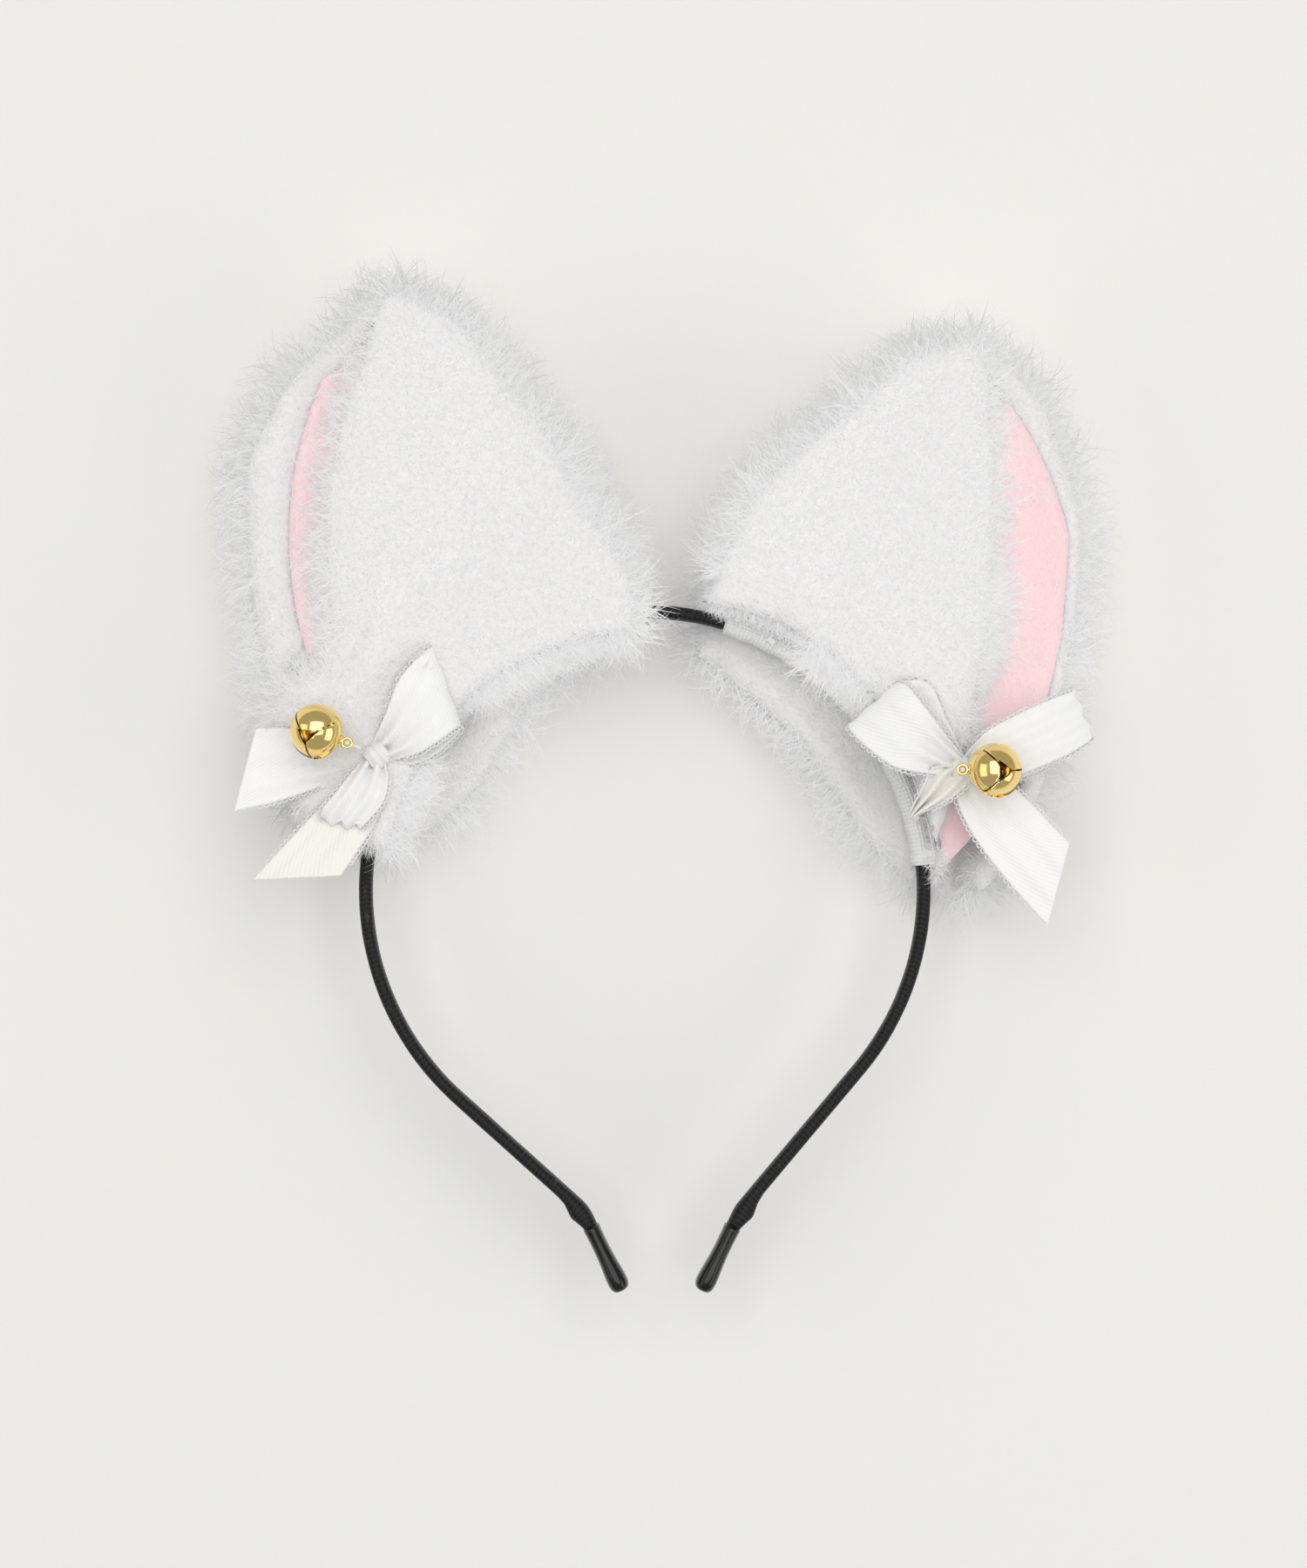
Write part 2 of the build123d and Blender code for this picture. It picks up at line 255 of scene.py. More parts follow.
def tape_finish():
    """Black ribbed satin tape wound round the band."""
    finish = Finish("Black satin tape", (0.012, 0.012, 0.013))
    finish.shader.inputs["Specular IOR Level"].default_value = 0.22
    across, along = finish.uv("Weave")
    ribs = (along * 5600.0 + across * 900.0).wave() * 0.5 + 0.5
    dust = finish.noise(1100, 2, stretch=(1.0, 1.0, 0.3))
    fleck = (dust - 0.66).at_least(0.0) * 1.2
    black = finish.blend(ribs, (0.003, 0.003, 0.0035), (0.016, 0.016, 0.018))
    colour = finish.blend(fleck, black, (0.3, 0.3, 0.3))
    return finish.close(colour, 0.42 + ribs * 0.16, ribs, 0.0001, 0.8)


def rubber_finish():
    """Glossy dipped black rubber with a faint orange-peel skin."""
    finish = Finish("Glossy black rubber", (0.01, 0.01, 0.01), coat_weight=0.2,
                    coat_roughness=0.06)
    finish.shader.inputs["Specular IOR Level"].default_value = 0.3
    peel = finish.noise(420, 2)
    colour = finish.blend(peel, (0.003, 0.003, 0.003), (0.008, 0.008, 0.009))
    return finish.close(colour, 0.13 + peel * 0.1, peel, 0.00012, 0.5)


def gold_finish():
    """Polished gold plate with fine handling marks."""
    finish = Finish("Polished gold", (0.93, 0.62, 0.2), metallic=1.0)
    marks = finish.noise(1300, 4, stretch=(1.0, 1.0, 0.15))
    cloud = finish.noise(160, 2)
    colour = finish.blend(cloud, colours().gold_deep, colours().gold)
    return finish.close(colour, 0.07 + marks * 0.1, marks, 0.00002, 0.5)


def plain_finish(name, colour, rough, scale, metallic=0.0):
    """Small inner pieces: base colour and roughness broken up by fine noise."""
    finish = Finish(name, colour, metallic=metallic)
    grain = finish.noise(scale, 3)
    colour = finish.blend(grain, [c * 0.85 for c in colour], colour)
    return finish.close(colour, rough + grain * 0.15, grain, 0.00005, 0.5)


# ---------------------------------------------------------------------------- mesh helpers
def new_piece(name, mesh_or_bm, material, body):
    """Link a finished piece, with its place in its mesh, and let it ride on its body."""
    mesh = mesh_or_bm
    if isinstance(mesh_or_bm, bmesh.types.BMesh):
        mesh = mesh_of(mesh_or_bm, name)
    mesh.name = name
    piece = linked(name, mesh)
    mesh.materials.clear()
    mesh.materials.append(material)
    mesh.polygons.foreach_set("use_smooth", [True] * len(mesh.polygons))
    if body:
        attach(piece, body)
    return piece


def linked(name, data):
    """A new object in the scene."""
    thing = bpy.data.objects.new(name, data)
    bpy.context.scene.collection.objects.link(thing)
    return thing


def mesh_of(bm, name):
    """The bmesh as a mesh of its own; the bmesh is freed."""
    mesh = bpy.data.meshes.new(name)
    bm.to_mesh(mesh)
    bm.free()
    return mesh


def thicken(piece, thickness, offset=0.0):
    """Give a sheet its wall, to both sides of it or, at an offset of -1, inwards."""
    wall = piece.modifiers.new("Wall", "SOLIDIFY")
    wall.thickness, wall.offset = thickness, offset


def copy_of_node(node):
    """The CAD node's mesh with its loose triangles joined up."""
    bm = bmesh.new()
    bm.from_mesh(frame["nodes"][node].data)
    bmesh.ops.remove_doubles(bm, verts=bm.verts, dist=1e-6)
    return bm


def applied(piece):
    """Bake a piece's modifiers into its mesh."""
    depsgraph = bpy.context.evaluated_depsgraph_get()
    mesh = bpy.data.meshes.new_from_object(piece.evaluated_get(depsgraph), depsgraph=depsgraph)
    piece.modifiers.clear()
    old, piece.data = piece.data, mesh
    bpy.data.meshes.remove(old)
    return piece


def colours():
    return bpy.context.scene.headband_colours


def sizes():
    return bpy.context.scene.headband_sizes


def share(value):
    """A value held between 0 and 1."""
    return min(1.0, max(0.0, value))


def unit(vector):
    return vector.normalized() if vector.length > 1e-9 else Vector((0, 0, 1))


def ear_axes(side):
    """Middle of an ear's casing, and the ear's directions along the band and outwards."""
    joint = JOINTS[side + "_ear_tilt"]
    out = unit(Vector((-joint["axis"][2], 0, joint["axis"][0])))
    return ARC_CENTRE + out * BAND_RADIUS, -unit(Vector(joint["axis"])) * SIGN[side], out


def ear_place(side, u, v, y=0.0):
    """A point of the ear's own frame, in millimetres, as a place in the row frame."""
    middle, along, out = ear_axes(side)
    return middle + along * (u * MM) + out * (v * MM) + Vector((0, y * MM, 0))


# --------------------------------------------------------------------------------- fur
STRAND_SIDES = 3
STRAND_BENDS = (0.33, 0.68)
STRAND_GIRTH = 0.015
STRAND_SHAKE = 0.3              # how far strands stray from upright, and from the comb
COMB_SHAKE = 0.5
PILE_RANGE = (0.65, 1.15)       # shortest and longest strand, as shares of the pile
BACK_FACING = 0.8               # how far a cloth faces backwards before its pile is lit there


def strand_mesh(lean):
    """One closed hair, a unit long: it rises along +Z and leans over towards +X."""
    bm = bmesh.new()
    bmesh.ops.create_cone(bm, cap_ends=True, segments=STRAND_SIDES, radius1=STRAND_GIRTH,
                          radius2=0.0, depth=1.0, matrix=Matrix.Translation((0, 0, 0.5)))
    bmesh.ops.remove_doubles(bm, verts=bm.verts, dist=1e-5)
    for height in STRAND_BENDS:
        bmesh.ops.bisect_plane(bm, geom=bm.verts[:] + bm.edges[:] + bm.faces[:],
                               plane_co=(0, 0, height), plane_no=(0, 0, 1))
    bmesh.ops.recalc_face_normals(bm, faces=bm.faces)
    layer = bm.loops.layers.uv.new("OFBake")
    for face in bm.faces:
        middle = face.calc_center_median()
        facing = math.atan2(middle.y, middle.x)
        for loop in face.loops:
            co = loop.vert.co
            across = 0.12 * math.sin(math.atan2(co.y, co.x) - facing)
            column = 0.18 + 0.32 * (facing / math.tau + 0.5) * 2
            loop[layer].uv = (min(0.98, max(0.02, column + across)), 0.02 + 0.96 * co.z)
    for vert in bm.verts:
        height = vert.co.z
        swell = 1.0 + 0.9 * math.sin(math.pi * height)
        vert.co.x = vert.co.x * swell + lean * height ** 1.7
        vert.co.y *= swell
        vert.co.z = height * (1.0 - 0.35 * lean * height)
    return mesh_of(bm, "strand")


class Graph:
    """A geometry node group written as calls."""

    def __init__(self, name):
        self.group = bpy.data.node_groups.new(name, "GeometryNodeTree")
        for way in ("INPUT", "OUTPUT"):
            self.group.interface.new_socket("Geometry", in_out=way,
                                            socket_type="NodeSocketGeometry")

    def add(self, kind, settings=None, inputs=None):
        node = self.group.nodes.new(kind)
        for key, value in (settings or {}).items():
            setattr(node, key, value)
        for key, value in (inputs or {}).items():
            if isinstance(value, bpy.types.NodeSocket):
                self.group.links.new(value, node.inputs[key])
            else:
                node.inputs[key].default_value = value
        return node

    def attribute(self, name, kind):
        node = self.add("GeometryNodeInputNamedAttribute", {"data_type": kind}, {"Name": name})
        return node.outputs["Attribute"]

    def shake(self, amount, seed):
        """A random vector for each strand, as long as amount each way."""
        node = self.add("FunctionNodeRandomValue", {"data_type": "FLOAT_VECTOR"}, {
            0: (-amount, -amount, -amount), 1: (amount, amount, amount), "Seed": seed})
        return node.outputs[0]

    def between(self, low, high, seed):
        node = self.add("FunctionNodeRandomValue", {"data_type": "FLOAT"},
                        {2: low, 3: high, "Seed": seed})
        return node.outputs[1]

    def join(self, operation, first, second, vector=False):
        kind = "ShaderNodeVectorMath" if vector else "ShaderNodeMath"
        return self.add(kind, {"operation": operation}, {0: first, 1: second}).outputs[0]


def fur_graph(template, per_area, seed):
    """Strands rooted by density, leaned along comb and sized by pile."""
    graph = Graph("Fur strands")
    entry = graph.add("NodeGroupInput").outputs[0]
    density = graph.join("MULTIPLY", graph.attribute("density", "FLOAT"), per_area)
    scatter = graph.add("GeometryNodeDistributePointsOnFaces", {"distribute_method": "RANDOM"},
                        {"Mesh": entry, "Density": density, "Seed": seed})
    rise = graph.join("ADD", scatter.outputs["Normal"], graph.shake(STRAND_SHAKE, seed + 1), True)
    upright = graph.add("FunctionNodeAlignRotationToVector", {"axis": "Z"}, {"Vector": rise})
    comb = graph.join("ADD", graph.attribute("comb", "FLOAT_VECTOR"),
                      graph.shake(COMB_SHAKE, seed + 2), True)
    leaned = graph.add("FunctionNodeAlignRotationToVector", {"axis": "X", "pivot_axis": "Z"},
                       {"Rotation": upright.outputs[0], "Vector": comb})
    pile = graph.join("MULTIPLY", graph.attribute("pile", "FLOAT"),
                      graph.between(*PILE_RANGE, seed + 3))
    source = graph.add("GeometryNodeObjectInfo", None, {"Object": template})
    kept = graph.add("GeometryNodeStoreNamedAttribute", {"data_type": "FLOAT_VECTOR"}, {
        "Geometry": scatter.outputs["Points"], "Name": "rise",
        "Value": scatter.outputs["Normal"]})
    strands = graph.add("GeometryNodeInstanceOnPoints", None, {
        "Points": kept.outputs[0], "Instance": source.outputs["Geometry"],
        "Rotation": leaned.outputs[0], "Scale": pile})
    real = graph.add("GeometryNodeRealizeInstances", None, {0: strands.outputs[0]})
    leaf = graph.add("NodeGroupOutput")
    graph.group.links.new(real.outputs[0], leaf.inputs[0])
    return graph.group


def lit_way(rise, vert):
    """Normal that a strand is shaded with: that of its cloth, turned to the nearer face.

    Pile passes light through, so a strand on the rim is as bright as the face beside it."""
    face = 1.0 if rise.y > BACK_FACING and vert.co.y > 0 else -1.0
    return unit(rise * 0.45 + Vector((0, face * 0.62, 0.12)) + vert.normal * 0.26)


def grow_fur(name, ground, material, body, count, lean, seed, comb):
    """Grow a coat of strands on a finished panel.

    comb(place, normal) gives the way the pile leans, its length and how thick it stands."""
    mesh = ground.data.copy()
    way = mesh.attributes.new("comb", "FLOAT_VECTOR", "POINT")
    pile = mesh.attributes.new("pile", "FLOAT", "POINT")
    density = mesh.attributes.new("density", "FLOAT", "POINT")
    for index, vert in enumerate(mesh.vertices):
        lie, length, thick = comb(vert.co, vert.normal)
        way.data[index].vector = lie
        pile.data[index].value = length
        density.data[index].value = thick
    area = sum(face.area * density.data[face.vertices[0]].value for face in mesh.polygons)
    template = linked("strand template", strand_mesh(lean))
    coat = linked(name, mesh)
    group = fur_graph(template, count / area, seed)
    coat.modifiers.new("Fur", "NODES").node_group = group
    applied(coat)
    bpy.data.objects.remove(template)
    bpy.data.node_groups.remove(group)
    strands = coat.data
    bpy.data.objects.remove(coat)
    rise = [Vector(item.vector) for item in strands.attributes["rise"].data]
    shade = [lit_way(r, v) for r, v in zip(rise, strands.vertices)]
    for extra in ("comb", "pile", "density", "rise"):
        if extra in strands.attributes:
            strands.attributes.remove(strands.attributes[extra])
    coat = new_piece(name, strands, material, body)
    strands.normals_split_custom_set_from_vertices(shade)
    coat.visible_shadow = False
    return coat


# --------------------------------------------------------------------------- padded panels
PANEL_VOXEL = 3.0 * MM
PANEL_SWELL = 4.0 * MM          # furthest that the cloth may move a point
CLOTH_FRAMES = 14
CLOTH_PRESSURE = 2.5
BAND_ROOM = 8.0 * MM            # either side of the band's line, where panels keep off it
CASING_HALF = 5.6 * MM
ROOM_SPREAD = 0.15              # room gained towards the edge of that strip
ROOM_FADE = 3 * MM              # and given back at its very edge


def panel_ground(node, name, level, taper):
    """Soft panel from its CAD slab: rounded, thinned towards the tip and swollen as cloth."""
    bm = copy_of_node(node)
    for vert in bm.verts if level else ():
        level(vert.co)
    panel = linked(name, mesh_of(bm, name))
    remesh = panel.modifiers.new("Voxels", "REMESH")
    remesh.mode = "VOXEL"
    remesh.voxel_size = PANEL_VOXEL
    applied(panel)
    bm = bmesh.new()
    bm.from_mesh(panel.data)
    for _ in range(sizes().panel_rounding):
        bmesh.ops.smooth_vert(bm, verts=bm.verts, factor=0.5, use_axis_x=True, use_axis_y=True,
                              use_axis_z=True)
    for vert in bm.verts:
        vert.co = taper(vert.co)
    bm.to_mesh(panel.data)
    bm.free()
    swell_as_cloth(panel)
    keep_off_band(panel.data)
    return panel


def keep_off_band(mesh):
    """Press a panel back from the casing where it lies beside it."""
    for vert in mesh.vertices:
        off = Vector((vert.co.x, 0, vert.co.z)) - ARC_CENTRE
        gap = abs(off.length - BAND_RADIUS)
        if gap >= BAND_ROOM:
            continue
        limit = CASING_HALF + ROOM_SPREAD * gap - ROOM_FADE * max(0.0, gap / BAND_ROOM - 0.6)
        if 0.5 * MM < vert.co.y < limit:
            vert.co.y = limit
        elif -limit < vert.co.y < -0.5 * MM:
            vert.co.y = -limit


def swell_as_cloth(panel):
    """Blow the panel up a little as sewn cloth, and hold each point near where it was."""
    scene = bpy.context.scene
    start = [vert.co.copy() for vert in panel.data.vertices]
    cloth = panel.modifiers.new("Cloth", "CLOTH")
    cloth.settings.use_pressure = True
    cloth.settings.uniform_pressure_force = CLOTH_PRESSURE
    cloth.settings.effector_weights.gravity = 0.0
    cloth.settings.quality = 4
    cloth.point_cache.frame_end = CLOTH_FRAMES
    for step in range(1, CLOTH_FRAMES + 1):
        scene.frame_set(step)
    applied(panel)
    scene.frame_set(1)
    for vert, was in zip(panel.data.vertices, start):
        move = vert.co - was
        if move.length > PANEL_SWELL:
            vert.co = was + move * (PANEL_SWELL / move.length)


# --------------------------------------------------------------------------- ear pieces
# Lower edge of the front panel above the middle of the band, how far the white rim reaches in
# over the lining, and how far the front flap's open edge is set back from it.
FRONT_HEM = {"left": -5.0 * MM, "right": 3.4 * MM}
RIM_REACH = {"left": 5.6 * MM, "right": 0.6 * MM}
FLAP_BACK = {"left": 7.0 * MM, "right": 0.0}
SKIRT_FRONT = 6.0 * MM          # front of the back panel where it hangs below the band
OPEN_SIDE = 8.0 * MM            # nearer the lining than this, the two panels aren't sewn
EAR_HEIGHT = 80 * MM
TIP_PINCH = 0.42                # share of its depth that an ear loses at the tip
CLOTH_WAVE = 1.6 * MM
RIM_EDGE = 4 * MM               # rim that turns in over the lining
RIM_BACK = 5.8 * MM             # rim behind this depth stays where it is
FLAP_FADE = 16 * MM             # distance over which the flap is set back
HEM_DRAWN = 0.95                # share of the way that the hem is drawn up
HEM_FRONT = -11 * MM            # cloth in front of this depth also tucks back, at most so far
HEM_TUCK = 3 * MM


def lining_tree(side):
    """The lining as built, for asking how far a place on the ear is from its open side."""
    flat = copy_of_node(side + "_ear_lining")
    tree = BVHTree.FromBMesh(flat)
    flat.free()
    return tree


def ear_taper(side, part):
    """Draws the panels together at the tip, the front hem up and the rim in over the lining."""
    middle, _, out = ear_axes(side)
    hem = FRONT_HEM[side]
    lining = lining_tree(side)

    def draw_up(co):
        arm = Vector((co.x, 0, co.z)) - ARC_CENTRE
        short = BAND_RADIUS + hem - arm.length
        if short > 0:
            co += unit(arm) * (short * HEM_DRAWN)
            if co.y < HEM_FRONT:
                co.y += min(HEM_TUCK, short * 0.5)

    def draw_in(co):
        gap = lining.find_nearest(co)[3]
        near = share(1.15 - gap / RIM_EDGE)
        if co.y < RIM_BACK:
            co.x -= SIGN[side] * RIM_REACH[side] * near

    def move(co):
        height = max(0.0, (co - middle).dot(out)) / EAR_HEIGHT
        folded = co.copy()
        if part == "back":
            draw_in(folded)
        folded.y *= 1.0 - TIP_PINCH * min(1.0, height) ** 1.5
        wave = noise.noise(co * 38.0) * CLOTH_WAVE
        folded.y += wave * (1.0 if co.y < 0 else -0.6)
        if part == "front":
            gap = lining.find_nearest(co)[3]
            folded.x -= SIGN[side] * FLAP_BACK[side] * max(0.0, 1.0 - gap / FLAP_FADE)
            draw_up(folded)
        return folded

    return move


def level_skirt(side):
    """Levels the part of the back panel that hangs below the band, before it is rounded."""
    lining = lining_tree(side)

    def level(co):
        below = BAND_RADIUS - (Vector((co.x, 0, co.z)) - ARC_CENTRE).length
        if below > 0 and co.y < SKIRT_FRONT and lining.find_nearest(co)[3] > RIM_EDGE:
            co.y = SKIRT_FRONT

    return level


EAR_HEART = (2.0, 22.0)         # where the pile parts, in the ear's frame
PILE_UNDER_BOW = 0.45           # lengths of the pile as shares of the front's
PILE_BEHIND = 0.72
PILE_BY_CASING = 0.4
CASING_HIDDEN = (34, 61)        # degrees of the right band where fur falls over the casing
CASING_STRIP = 9 * MM
TURNED_IN = {"sewn": 0.6, "open": 0.35}     # cloth facing the pocket more than this is bare
BARE = 0.02


def comb_outwards(side, length):
    """Pile that flows out from the heart of the ear, longest on the rim, flat under the bow."""
    centre = ear_place(side, *EAR_HEART)
    lining = lining_tree(side)
    bow = [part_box(node) for node in frame["nodes"] if node.startswith(side + "_bow")]

    def under_bow(co):
        return co.y < 0 and any(low.x < co.x < high.x and low.z < co.z < high.z
                                for low, high in bow)

    def comb(co, normal):
        flow = Vector((co.x - centre.x, 0.0, co.z - centre.z))
        swirl = Vector((noise.noise(co * 60.0), 0, noise.noise(co * 60.0 + Vector((7, 3, 1)))))
        lie = unit(flow) + swirl * 0.8 + Vector((0, 0, -0.15))
        tuft = 0.85 + 0.3 * noise.noise(co * 140.0)
        rim = share(1.25 - abs(normal.y) * 1.3)
        size = length * tuft * (0.85 + 0.35 * rim)
        if under_bow(co):
            size *= PILE_UNDER_BOW
        if normal.y > 0.3:
            size *= PILE_BEHIND
        arm = Vector((co.x, 0, co.z)) - ARC_CENTRE
        angle = math.degrees(math.atan2(abs(arm.x), arm.z))
        shown = side == "right" and not CASING_HIDDEN[0] < angle < CASING_HIDDEN[1]
        if shown and co.y < 0 and arm.length - BAND_RADIUS < CASING_STRIP:
            size *= PILE_BY_CASING
        sewn = lining.find_nearest(co)[3] > OPEN_SIDE
        turned = TURNED_IN["sewn" if sewn else "open"]
        inside = co.y < -2 * MM and normal.y > turned
        covered = co.y > 0 and normal.y < -turned and arm.length > BAND_RADIUS + 6 * MM
        thick = BARE if inside or covered else 0.8 + 1.3 * rim
        return unit(lie), size, thick

    return comb


def make_ears(side, finishes):
    """Front and back plush panels of an ear, each with its coat of long pile."""
    body = side + "_ear"
    pile = sizes().pile_length * MM
    count = sizes().strands_per_coat // 1
    for index, part in enumerate(("front", "back")):
        node = "%s_ear_%s" % (side, part)
        taper = ear_taper(side, part)
        level = level_skirt(side) if part == "back" else None
        panel = panel_ground(node, "%s_%s_panel" % (side, part), level, taper)
        mesh = panel.data
        bpy.data.objects.remove(panel)
        panel = new_piece("%s_%s_panel" % (side, part), mesh, finishes["backing"], body)
        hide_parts(node)
        seed = 11 + 7 * index + 29 * SIDES.index(side)
        coat = grow_fur("%s_%s_fur" % (side, part), panel, finishes["fur"], body, count, 0.75,
                        seed, comb_outwards(side, pile))
        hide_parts(node)


# ---------------------------------------------------------------------------- swept pieces
def sweep(profile, stations, closed, capped=False, span=1.0):
    """Extrude a profile from station to station. A station is a matrix and its length along.

    The 'Weave' map gets the distance across and along, in metres."""
    bm = bmesh.new()
    turn = bm.verts.layers.float.new("turn")
    along = bm.verts.layers.float.new("along")
    first, start = stations[0]
    ring = [bm.verts.new(first @ Vector((x, y, 0))) for x, y in profile]
    pairs = list(zip(ring, ring[1:] + ring[:1])) if closed else list(zip(ring, ring[1:]))
    edges = [bm.edges.new(pair) for pair in pairs]
    neighbours = list(zip(profile, profile[1:] + profile[:1]))
    if closed:
        steps = [math.dist(a, b) for a, b in neighbours]
    else:
        steps = [span * abs(b[0] - a[0]) for a, b in neighbours]
    for index, vert in enumerate(ring):
        vert[turn] = sum(steps[:index])
        vert[along] = start
    girth = sum(steps)
    if capped:
        bm.faces.new(list(reversed(ring)))
    last = first
    for matrix, length in stations[1:]:
        made = bmesh.ops.extrude_edge_only(bm, edges=edges)["geom"]
        verts = [item for item in made if isinstance(item, bmesh.types.BMVert)]
        edges = [item for item in made if isinstance(item, bmesh.types.BMEdge)]
        bmesh.ops.transform(bm, matrix=matrix @ last.inverted(), verts=verts)
        for vert in verts:
            vert[along] = length
        last = matrix
    if capped:
        bmesh.ops.contextual_create(bm, geom=edges)
    layer = bm.loops.layers.uv.new("Weave")
    for face in bm.faces:
        turns = [loop.vert[turn] for loop in face.loops]
        wraps = closed and max(turns) - min(turns) > girth / 2
        for loop, place in zip(face.loops, turns):
            over = girth if wraps and place < girth / 2 else 0.0
            loop[layer].uv = (place + over, loop.vert[along])
    bmesh.ops.recalc_face_normals(bm, faces=bm.faces)
    return bm


def rounded_profile(width, thickness, power=3.2, steps=24):
    """Points of a soft-cornered section, across the width and through the thickness."""
    points = []
    for step in range(steps):
        angle = math.tau * step / steps
        c, s = math.cos(angle), math.sin(angle)
        swell = (abs(c) ** power + abs(s) ** power) ** (-1 / power)
        points.append((width / 2 * c * swell, thickness / 2 * s * swell))
    return points


def band_ways(side, angle):
    """Outwards from the band and onwards along it, at an angle in degrees from the crown."""
    a = math.radians(angle)
    out = Vector((SIGN[side] * math.sin(a), 0, math.cos(a)))
    ahead = Vector((SIGN[side] * math.cos(a), 0, -math.sin(a)))
    return out, ahead


def band_station(side, angle, length, place=None):
    """Station across the band, x across it and y outwards, on its arc if no place is given."""
    out, ahead = band_ways(side, angle)
    if place is None:
        place = ARC_CENTRE + out * BAND_RADIUS
    return station(place, Vector((0, 1, 0)), out, ahead), length


def station(place, across, out, ahead):
    matrix = Matrix((across, out, ahead)).transposed().to_4x4()
    matrix.translation = place
    return matrix


# Lower ends of the arms: end of the arc, straight run and outward turn at the cap.
ARC_END = {"left": 138.0, "right": 130.0}
RUN_LENGTH = {"left": 38.5 * MM, "right": 42.0 * MM}
TIP_TURN = {"left": 22.0, "right": 14.0}
TURN_RADIUS = 9.0 * MM
ARC_STEPS, RUN_STEPS, TURN_STEPS = 74, 16, 5


def arm_stations(side):
    """Stations from the middle of the crown to the mouth of the cap."""
    end, turn = ARC_END[side], TIP_TURN[side]
    arc = math.radians(end) * BAND_RADIUS
    result = [band_station(side, end * step / ARC_STEPS, arc * step / ARC_STEPS)
              for step in range(ARC_STEPS + 1)]
    begin = result[-1][0].translation
    out, ahead = band_ways(side, end)
    cut = TURN_RADIUS * math.tan(math.radians(turn) / 2)
    straight = RUN_LENGTH[side] - cut
    for step in range(1, RUN_STEPS + 1):
        run = straight * step / RUN_STEPS
        result.append(band_station(side, end, arc + run, begin + ahead * run))
    centre = begin + ahead * straight + out * TURN_RADIUS
    bend = math.radians(turn) * TURN_RADIUS
    for step in range(1, TURN_STEPS + 1):
        angle = end - turn * step / TURN_STEPS
        tip = centre - band_ways(side, angle)[0] * TURN_RADIUS
        length = arc + straight + bend * step / TURN_STEPS
        result.append(band_station(side, angle, length, tip))
    ahead = band_ways(side, end - turn)[1]
    for rest in (TURN_RADIUS / 4 - cut / 2, TURN_RADIUS / 2 - cut):
        length = arc + straight + bend + rest
        result.append(band_station(side, end - turn, length, tip + ahead * rest))
    return result


def puckered(stations, side, length, rise):
    """Swell the outer face of the cover just above the cap, where its end is glued down."""
    total = stations[-1][1]
    shaped = []
    for matrix, along in stations:
        near = (total - along) / length
        lump = math.sin(math.pi * share(near)) ** 1.5 * rise if near < 1 else 0.0
        wrinkle = 0.12 * MM * noise.noise(Vector((along * 90, SIGN[side] * 3.0, 0)))
        scale = 1.0 + (lump + wrinkle) / COVER_THICKNESS
        moved = matrix.copy()
        moved.translation = matrix.translation + matrix.col[1].xyz * (lump / 2)
        shaped.append((moved @ Matrix.Diagonal((1.0 + lump * 18, scale, 1.0, 1.0)), along))
    return shaped


PUCKER_LENGTH = 9.5 * MM        # wrinkled, glued end of the tape, and how far it stands up
PUCKER_RISE = 1.5 * MM


def make_cover(finishes):
    """Tape cover as one wrap per side, bending round the band's arc and the turn above the cap."""
    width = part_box("crown_cover")[1].y * 2
    profile = rounded_profile(width, COVER_THICKNESS)
    for side in SIDES:
        stations = puckered(arm_stations(side), side, PUCKER_LENGTH, PUCKER_RISE)
        bm = sweep(profile, stations, True, True)
        cover = new_piece(side + "_tape_cover", bm, finishes["tape"], None)
        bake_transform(cover)
        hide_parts(side + "_arm_cover", side + "_cover_tuck", "crown_cover")


# Sections of a cap: depth below its mouth, width and thickness, in millimetres.
CAP_LEVELS = ((-0.4, 8.1, 3.9), (0.0, 8.3, 4.1), (1.2, 8.0, 3.8), (6.5, 7.9, 3.75),
              (9.5, 8.2, 4.2), (12.0, 8.6, 4.7), (14.0, 8.6, 4.8), (15.2, 8.0, 4.3),
              (15.8, 6.6, 3.3), (16.05, 4.2, 1.9))


def make_cap(side, finishes):
    """Dipped cap: a rolled lip, a slim neck and a bulb."""
    mouth = arm_stations(side)[-1][0]
    stations = []
    for depth, wide, thick in CAP_LEVELS:
        place = mouth @ Matrix.Translation((0, 0, depth * MM))
        stations.append((place @ Matrix.Diagonal((wide * MM, thick * MM, 1.0, 1.0)), depth * MM))
    bm = sweep(rounded_profile(1.0, 1.0, 2.6), stations, True, True)
    cap = new_piece(side + "_rubber_cap", bm, finishes["rubber"], side + "_arm")
    smooth = cap.modifiers.new("Round", "SUBSURF")
    smooth.levels = smooth.render_levels = 1
    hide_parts(side + "_end_cap")


CASING_SPAN = {"left": (7.0, 77.0), "right": (16.7, 84.7)}     # degrees from the crown
CASING_THICKNESS = 5.0 * MM
CASING_WALL = 0.55 * MM
CASING_STEPS = 70
CRUMPLE = 0.05


